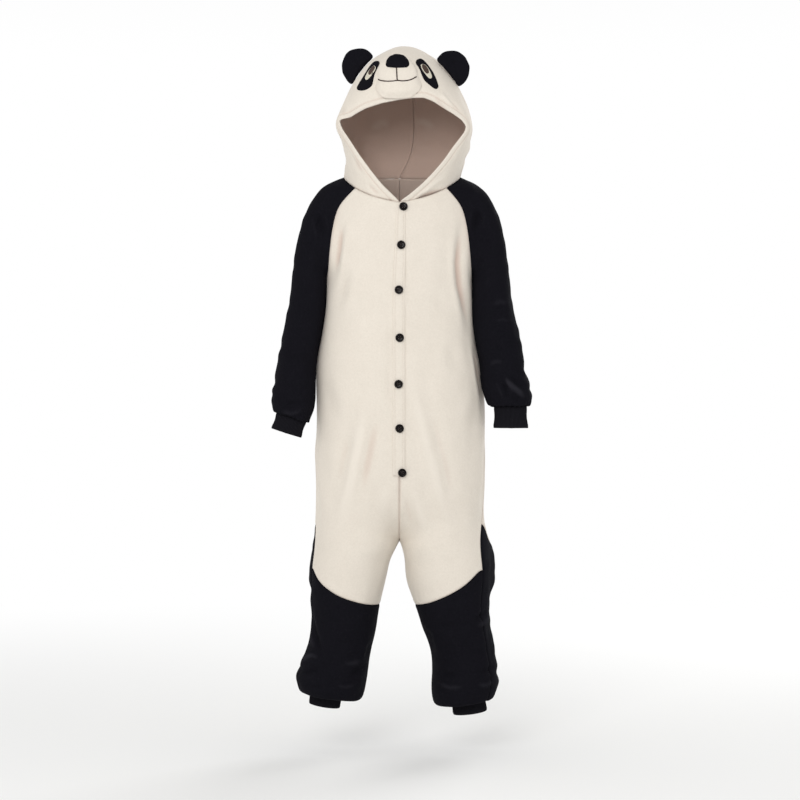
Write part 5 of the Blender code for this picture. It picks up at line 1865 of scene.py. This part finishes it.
@dataclass
class ButtonStrip:
    """The button strip, its stitching, and the buttons sewn on it."""

    room: Workroom
    thickness: float = 2.0
    width: float = 17.0
    thick: float = 3.2
    hole: float = 1.0
    hole_place: float = 2.0
    inset: float = 4.2
    end_gap: float = 6.0
    stitch: float = 3.2
    pitch: float = 4.4
    rise: float = 0.2

    def build(self) -> None:
        """Builds the strip, the rows of stitches and the seven buttons."""
        piece = Pattern.outer_face(self.room.nodes["placket"], STRIP_RIM)
        Bench.smooth(piece, 3)
        points, normals = Bench.points(piece), Bench.normals(piece)
        edge = Bench.distances(points, Bench.rim(piece))
        lift = -0.5 - 0.9 * bell(edge, 2.2) - 0.30 * bell(edge - 4.2, 1.1)
        lift += Drape.swell(points, 40.0, 0.35, (1.0, 1.0, 1.4))
        places = [Bench.sight(Bench.surface(piece), *spot) for spot in BUTTONS]
        for centre, _ in places:
            near = np.linalg.norm(points - np.array(centre), axis=1) / MM
            lift -= 0.5 * bell(near, 7.0)
        Bench.move(piece, points + normals * (lift * MM)[:, None])
        # Painted shade along the strip's edges and in the groove of its stitch line
        Bench.mark(piece, 0.04 * bell(edge, 1.4) + 0.07 * bell(edge - self.inset, 1.0))
        surface = Bench.surface(piece)
        Bench.thicken(piece, self.thickness)
        self.room.dress(piece, "placket_cloth", Finish.CREAM, ("placket",))
        self.stitches(surface)
        self.buttons(places)

    def buttons(self, places: list[Place]) -> None:
        """Models one button with four holes and its thread, and sets a copy at each place.

        Args:
            places: where each button's middle is on the strip, and the way it faces.
        """
        button, thread = self.model_button()
        for number, (place, axis) in enumerate(places, 1):
            turn = axis.to_track_quat("Z", "Y").to_matrix().to_4x4()
            turn.translation = place + axis * (self.rise * MM)
            for model, name, finish in (
                (button, f"button_{number}_disc", Finish.PLASTIC),
                (thread, f"button_{number}_thread", Finish.DARK_THREAD),
            ):
                copy = Bench.place(name, model.data.copy())
                copy.data.transform(turn)
                self.room.dress(copy, name, finish, (f"button_{number}",) if model is button else ())
        for model in (button, thread):
            bpy.data.objects.remove(model)

    def model_button(self) -> tuple[Piece, Piece]:
        """One button and its crossed thread, flat at the origin.

        Returns:
            The button and the thread.
        """
        radius, thick = self.width / 2 * MM, self.thick * MM
        bpy.ops.mesh.primitive_cylinder_add(vertices=56, radius=radius, depth=thick, location=(0, 0, thick / 2))
        piece = bpy.context.active_object
        bpy.ops.object.transform_apply(location=True)
        with Bench.editing(piece):
            bpy.ops.mesh.select_all(action="DESELECT")
            form = bmesh.from_edit_mesh(piece.data)
            for face in form.faces:
                face.select = face.normal.z > 0.9
            bmesh.update_edit_mesh(piece.data)
            for width, depth in ((2.1, 0.0), (0.7, -0.8), (2.4, -0.2)):
                bpy.ops.mesh.inset(thickness=width * MM, depth=depth * MM)
        Bench.finish_with(piece, "BEVEL", width=0.45 * MM, segments=3, limit_method="ANGLE")
        place, hole = self.hole_place * MM, self.hole * MM
        corners = [(x, y) for x in (-place, place) for y in (-place, place)]
        for x, y in corners:
            bpy.ops.mesh.primitive_cylinder_add(vertices=14, radius=hole, depth=4 * thick, location=(x, y, thick / 2))
            drill = bpy.context.active_object
            Bench.finish_with(piece, "BOOLEAN", object=drill, operation="DIFFERENCE", solver="EXACT")
            bpy.data.objects.remove(drill)
        Bench.take(piece)
        bpy.ops.object.shade_smooth_by_angle(angle=math.radians(35))
        top = thick - 1.0 * MM
        strands = []
        for sign in (1, -1):
            for shift in (-0.32, 0.32):
                bpy.ops.mesh.primitive_cylinder_add(
                    vertices=8,
                    radius=0.34 * MM,
                    depth=2 * place * math.sqrt(2) + 0.6 * MM,
                    location=(shift * MM, shift * MM * sign, top + (0.2 if sign > 0 else 0.55) * MM),
                    rotation=(math.pi / 2, 0, sign * math.pi / 4),
                )
                strands.append(bpy.context.active_object)
        Bench.take(*strands)
        bpy.ops.object.join()
        thread = strands[0]
        bpy.ops.object.transform_apply(location=True, rotation=True)
        bpy.ops.object.shade_smooth()
        return piece, thread

    def stitches(self, surface: BVHTree) -> None:
        """Two rows of stitches down the strip, each stitch a short thread sunk in the cloth.

        Args:
            surface: the strip's search tree.
        """
        low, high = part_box("placket")
        bpy.ops.mesh.primitive_uv_sphere_add(segments=8, ring_count=5, radius=1.0, location=(0, 0, 0))
        model = bpy.context.active_object
        shape = Bench.points(model) * np.array([0.38, 0.32, self.stitch / 2]) * MM
        faces = [tuple(p.vertices) for p in model.data.polygons]
        bpy.data.objects.remove(model)
        for name, side in (("strip_stitches_fold", -1), ("strip_stitches_seam", 1)):
            points, cells = [], []
            z = low.z + self.end_gap * MM
            while z < high.z - self.end_gap * MM:
                spot = self.strip_edge(surface, z, side)
                above = self.strip_edge(surface, z + self.pitch * MM, side)
                if spot and above:
                    place, normal = spot
                    along = (above[0] - place).normalized()
                    frame = np.array([along.cross(normal).normalized(), normal, along])
                    base = len(points)
                    points += [np.array(place) + np.array(normal) * 0.1 * MM + p @ frame for p in shape]
                    cells += [tuple(base + k for k in face) for face in faces]
                z += self.pitch * MM
            piece = Bench.sheet(name, points, cells)
            with Bench.editing(piece):
                bpy.ops.mesh.normals_make_consistent(inside=False)
            Bench.shade(piece)
            self.room.dress(piece, name, Finish.CREAM_THREAD)

    def strip_edge(self, surface: BVHTree, z: float, side: int) -> Place | None:
        """The place and normal of a row of stitches at a height: in from one edge of the strip.

        Args:
            surface: the strip's search tree.
            z: the height, in metres.
            side: 1 for the edge on the wearer's left, -1 for the other.

        Returns:
            The place and the normal, or nothing where the strip doesn't reach.
        """
        ahead = Vector((0, 1, 0))
        for step in range(60):
            edge = side * (22 - 0.5 * step) * MM
            if surface.ray_cast(Vector((edge, -1, z)), ahead)[0] is not None:
                place, normal, _, _ = surface.ray_cast(Vector((edge - side * self.inset * MM, -1, z)), ahead)
                return None if place is None else (place, Bench.forward(normal))
        return None


@dataclass
class Studio:
    """The pale floor, the soft lights and the camera at the photograph's place."""

    room: Workroom
    floor_z: float = -1.165
    distance: float = 4.4
    eye_height: float = -0.441
    lens: float = 96.6

    def build(self) -> None:
        """Sets the stage."""
        bpy.ops.mesh.primitive_circle_add(vertices=64, radius=30, fill_type="NGON", location=(0, 0, self.floor_z))
        floor = bpy.context.active_object
        bpy.ops.object.transform_apply(location=True)
        floor.name = "studio_floor"
        floor.data.materials.append(self.room.weaver.material(Finish.FLOOR))
        self.light("key", (-0.8, -3.6, 0.9), 1.6, 56)
        self.light("back", (1.8, 3.2, 1.2), 2.0, 60)
        bpy.context.scene.world = self.room_light()
        bpy.context.scene.view_settings.view_transform = "Standard"
        data = bpy.data.cameras.new("camera")
        data.lens, data.sensor_width = self.lens, 36.0
        camera = Bench.place("camera", data)
        camera.location = (0, -self.distance, self.eye_height)
        camera.rotation_euler = (math.radians(90), 0, 0)
        bpy.context.scene.camera = camera

    @staticmethod
    def room_light() -> bpy.types.World:
        """White walls all round, under a ceiling and over a ground that are a little dimmer.

        Returns:
            The world.
        """
        world = bpy.data.worlds.new("studio")
        world.use_nodes = True
        recipe = Recipe(world.node_tree)
        up = recipe.add("SeparateXYZ", {"Vector": recipe.add("TexCoord", {})["Generated"]})["Z"]
        height = recipe.add("MapRange", {"From Min": -1.0, "From Max": 1.0, "Value": up})["Result"]
        ramp = world.node_tree.nodes.new("ShaderNodeValToRGB")
        colour = recipe.feed(ramp, {"Fac": height})["Color"]
        stops = ramp.color_ramp.elements
        for place in (0.45, 0.58):
            stops.new(place)
        for stop, grey in zip(stops, (0.80, 1.0, 1.0, 0.52)):
            stop.color = (grey, grey, grey, 1)
        recipe.feed(world.node_tree.nodes["Background"], {"Color": colour, "Strength": 1.0})
        return world

    @staticmethod
    def light(name: str, place: tuple[float, float, float], size: float, watts: float) -> None:
        """A soft square light that looks at the suit's middle.

        Args:
            name: its name.
            place: where it stands.
            size: its side, in metres.
            watts: its power.
        """
        data = bpy.data.lights.new(name, "AREA")
        data.size, data.energy = size, watts
        lamp = Bench.place(name, data)
        lamp.location = place
        lamp.rotation_euler = (Vector((0, 0, -0.4)) - Vector(place)).to_track_quat("-Z", "Y").to_euler()


def clear_scene() -> None:
    """Removes what Blender starts with."""
    for found in list(bpy.data.objects):
        bpy.data.objects.remove(found)


def corners(box: tuple[Vector, Vector]) -> list[list[float]]:
    """A box as plain numbers."""
    return [list(corner) for corner in box]


def main() -> None:
    """Builds the dressed costume in order and reports each piece."""
    logging.basicConfig(level=logging.INFO, format="%(name)s: %(message)s")
    clear_scene()
    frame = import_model()
    room = Workroom(frame["nodes"])
    suit = Suit(room)
    suit.build()
    Cuffs(room).build()
    hood = Hood(room, suit)
    hood.build()
    Face(room, hood).build()
    Ears(room).build()
    ButtonStrip(room).build()
    Studio(room).build()
    LOG.info("%d pieces", len(room.done))


if __name__ == "__main__":
    main()
